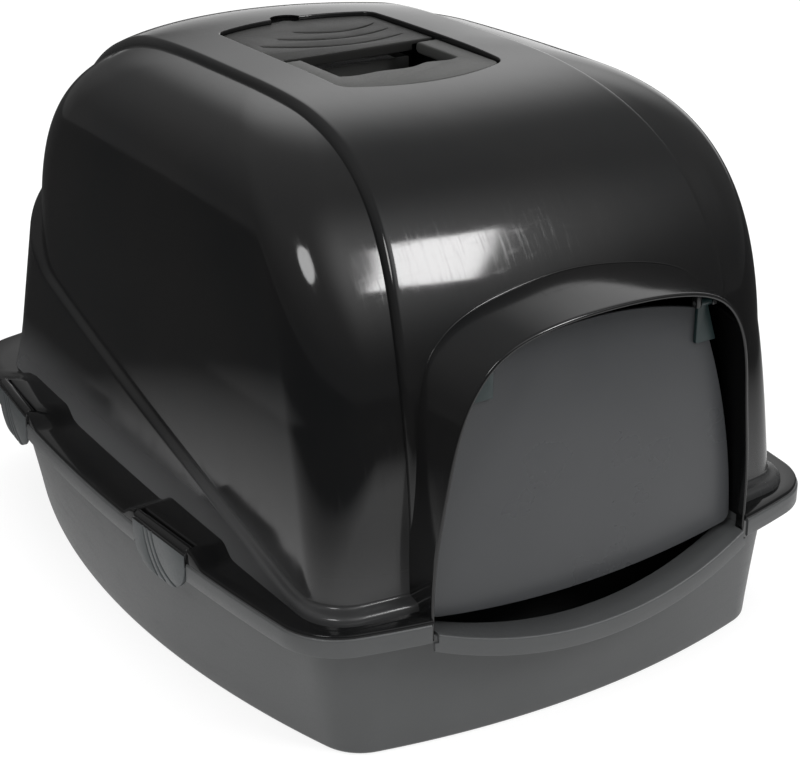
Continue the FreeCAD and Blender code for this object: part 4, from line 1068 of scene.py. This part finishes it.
outer, inner = side_grids()
dressed(shell("hood_sides", outer, inner, 50.0), "base", GLOSS_PAINTED_SHEEN, "hood_shell")
outer, inner = strap_grids()
band = cut(shell("hood_band", outer, inner, 50.0), [tunnel_tool(0.4), opening_tool(), recess_tool()], 38.0)
dressed(band, "base", GLOSS, "hood_shell")
for piece, finish in ((visor, GLOSS), (bead, GLOSS), (flange, LEDGE), (well, GLOSS), (collar, GLOSS),
                      (recess_cup, GLOSS), (ears, GLOSS)):
    dressed(piece(), "base", finish, "hood_shell")
dressed(tray(), "base", TRAY, "litter_tray")
dressed(bevelled("carry_handle", "handle_bar", 1.4, 3), "handle", PANEL, "carry_handle")
dressed(bevelled("filter_cover", "cover_plate", 0.6, 2), "cover", COVER, "filter_cover")
dressed(bevelled("door_flap", "flap_plate", 0.7, 3), "flap", SMOKED, "door_flap")
for side in ("left", "right"):
    clip = bevelled("flap_clip_" + side, "clip_" + side, 0.5, 2)
    dressed(clip, "flap", CLIP, "flap_clip_" + side)
    for end in ("front", "rear"):
        label = "latch_%s_%s" % (end, side)
        latch = bevelled(label, label + "_dressed", 0.4, 2)
        dressed(latch, label + "_body", LATCH, label)
        # The pivot barrel, above this height in metres, is polished black like the hood
        barrel_foot = 0.1162
        latch.data.materials.append(GLOSS)
        for face in latch.data.polygons:
            face.material_index = int(face.center.z > barrel_foot)
holder = bevelled("filter_holder", "holder_basket", 0.5, 2)
dressed(holder, "base", PANEL, "filter_holder")
pad = dressed(filter_pad(), "base", FELT, "carbon_filter")
for name in ("flap_pin_left", "flap_pin_right"):
    pin = frame["nodes"][name]
    pin.data.materials.clear()
    pin.data.materials.append(PIN)


# Floor, world, lamps and camera

def by_ray(tree, plain, glossy, seen):
    """One shader for most rays, one for reflections, one for what is seen straight or through clear pieces."""
    path = node(tree, "LightPath").outputs
    direct = folded(tree, "MAXIMUM", path["Is Camera Ray"], path["Is Transmission Ray"])
    shader = plain.outputs[0]
    for share, other in ((path["Is Glossy Ray"], glossy), (direct, seen)):
        made = node(tree, "MixShader")
        tree.links.new(share, made.inputs[0])
        tree.links.new(shader, made.inputs[1])
        tree.links.new(other.outputs[0], made.inputs[2])
        shader = made.outputs[0]
    return shader


def bare_tree(made, output):
    """Empty node tree of a material or world, and its output's socket."""
    made.use_nodes = True
    tree = made.node_tree
    tree.nodes.clear()
    return tree, node(tree, output).inputs["Surface"]


def floor():
    obj = new_object("floor", box_points((-6000, -6000, -20), (6000, 6000, -0.3)), BOX_FACES)
    made = bpy.data.materials.new("floor_white")
    tree, surface = bare_tree(made, "OutputMaterial")
    matt = node(tree, "BsdfDiffuse")
    matt.inputs["Color"].default_value = (0.80, 0.80, 0.80, 1)
    pale = node(tree, "BsdfDiffuse")
    pale.inputs["Color"].default_value = (0.28, 0.28, 0.28, 1)
    glow = node(tree, "Emission")
    glow.inputs["Strength"].default_value = 0.78
    seen = node(tree, "AddShader")
    tree.links.new(pale.outputs[0], seen.inputs[0])
    tree.links.new(glow.outputs[0], seen.inputs[1])
    # In reflections the floor is a white sheet that ends a little way off
    place = node(tree, "NewGeometry")
    length = node(tree, "VectorMath", "DISTANCE")
    length.inputs[1].default_value = (0.0, -0.45, 0.0)
    tree.links.new(place.outputs["Position"], length.inputs[0])
    sheet = node(tree, "Emission")
    tree.links.new(spread(tree, length.outputs["Value"], 0.95, 0.05, 0.52, 0.98), sheet.inputs["Strength"])
    tree.links.new(by_ray(tree, matt, sheet, seen), surface)
    obj.data.materials.append(made)


def screen(tree, way, middle, edge, power, strength):
    """Soft-edged bright patch round a direction."""
    toward = node(tree, "VectorMath", "DOT_PRODUCT")
    tree.links.new(way, toward.inputs[0])
    toward.inputs[1].default_value = Vector(middle).normalized()
    rise = raised(tree, spread(tree, toward.outputs["Value"], 0.0, 1.0, edge, 1.0), power)
    return spread(tree, rise, 0.0, strength, 0.0, 1.0)


def world():
    made = bpy.data.worlds.new("studio")
    scene.world = made
    tree, surface = bare_tree(made, "OutputWorld")
    way = node(tree, "TexCoord").outputs["Generated"]
    ceiling = spread(tree, split(tree, way)["Z"], 0.149, 0.386, 0.10, 0.75)
    # Pale screens behind and low on the right, and a wide one in front, which only the gloss shows
    behind = screen(tree, way, (0.557, 0.707, 0.436), 0.80, 4.7, 1.40)
    low = screen(tree, way, (0.679, 0.705, -0.203), 0.886, 0.78, 1.67)
    ahead = screen(tree, way, (0.252, -0.637, 0.729), 0.683, 3.2, 1.68)
    studio = node(tree, "Background")
    tree.links.new(added(tree, ceiling, behind, low, ahead), studio.inputs["Strength"])
    plain = node(tree, "Background")
    plain.inputs["Strength"].default_value = 0.98
    white = node(tree, "Background")
    white.inputs["Strength"].default_value = 1.0
    tree.links.new(by_ray(tree, plain, studio, white), surface)


def lamp(name, place, target, width, height, power, shape="RECTANGLE", roll=0.0):
    data = bpy.data.lights.new(name, "AREA")
    data.shape = shape
    data.size, data.size_y = width, height
    data.energy = power
    obj = bpy.data.objects.new(name, data)
    scene.collection.objects.link(obj)
    obj.location = place
    aim = (Vector(target) - Vector(place)).to_track_quat("-Z", "Y")
    obj.rotation_euler = (aim @ Quaternion((0, 0, 1), math.radians(roll))).to_euler()
    obj.visible_camera = False
    return obj


floor()
world()
lamp("softbox_right", (1.06, -2.07, 2.19), (0.0, -0.25, 0.33), 0.55, 1.05, 33, roll=-32.0)
lamp("softbox_left", (-1.75, -1.15, 2.2), (-0.15, -0.2, 0.3), 0.85, 1.0, 18, "ELLIPSE")
lamp("softbox_top", (0.1, 0.4, 2.7), (0.0, 0.0, 0.2), 2.2, 1.6, 20).visible_glossy = False

camera = bpy.data.objects.new("camera", bpy.data.cameras.new("camera"))
scene.collection.objects.link(camera)
camera.data.sensor_width = 36.0
camera.data.lens = 86.7
camera.data.clip_start = 0.05
camera.location = (-0.754, -1.231, 0.766)
camera.rotation_euler = Vector((0.4968, 0.7709, -0.3987)).to_track_quat("-Z", "Y").to_euler()
scene.camera = camera
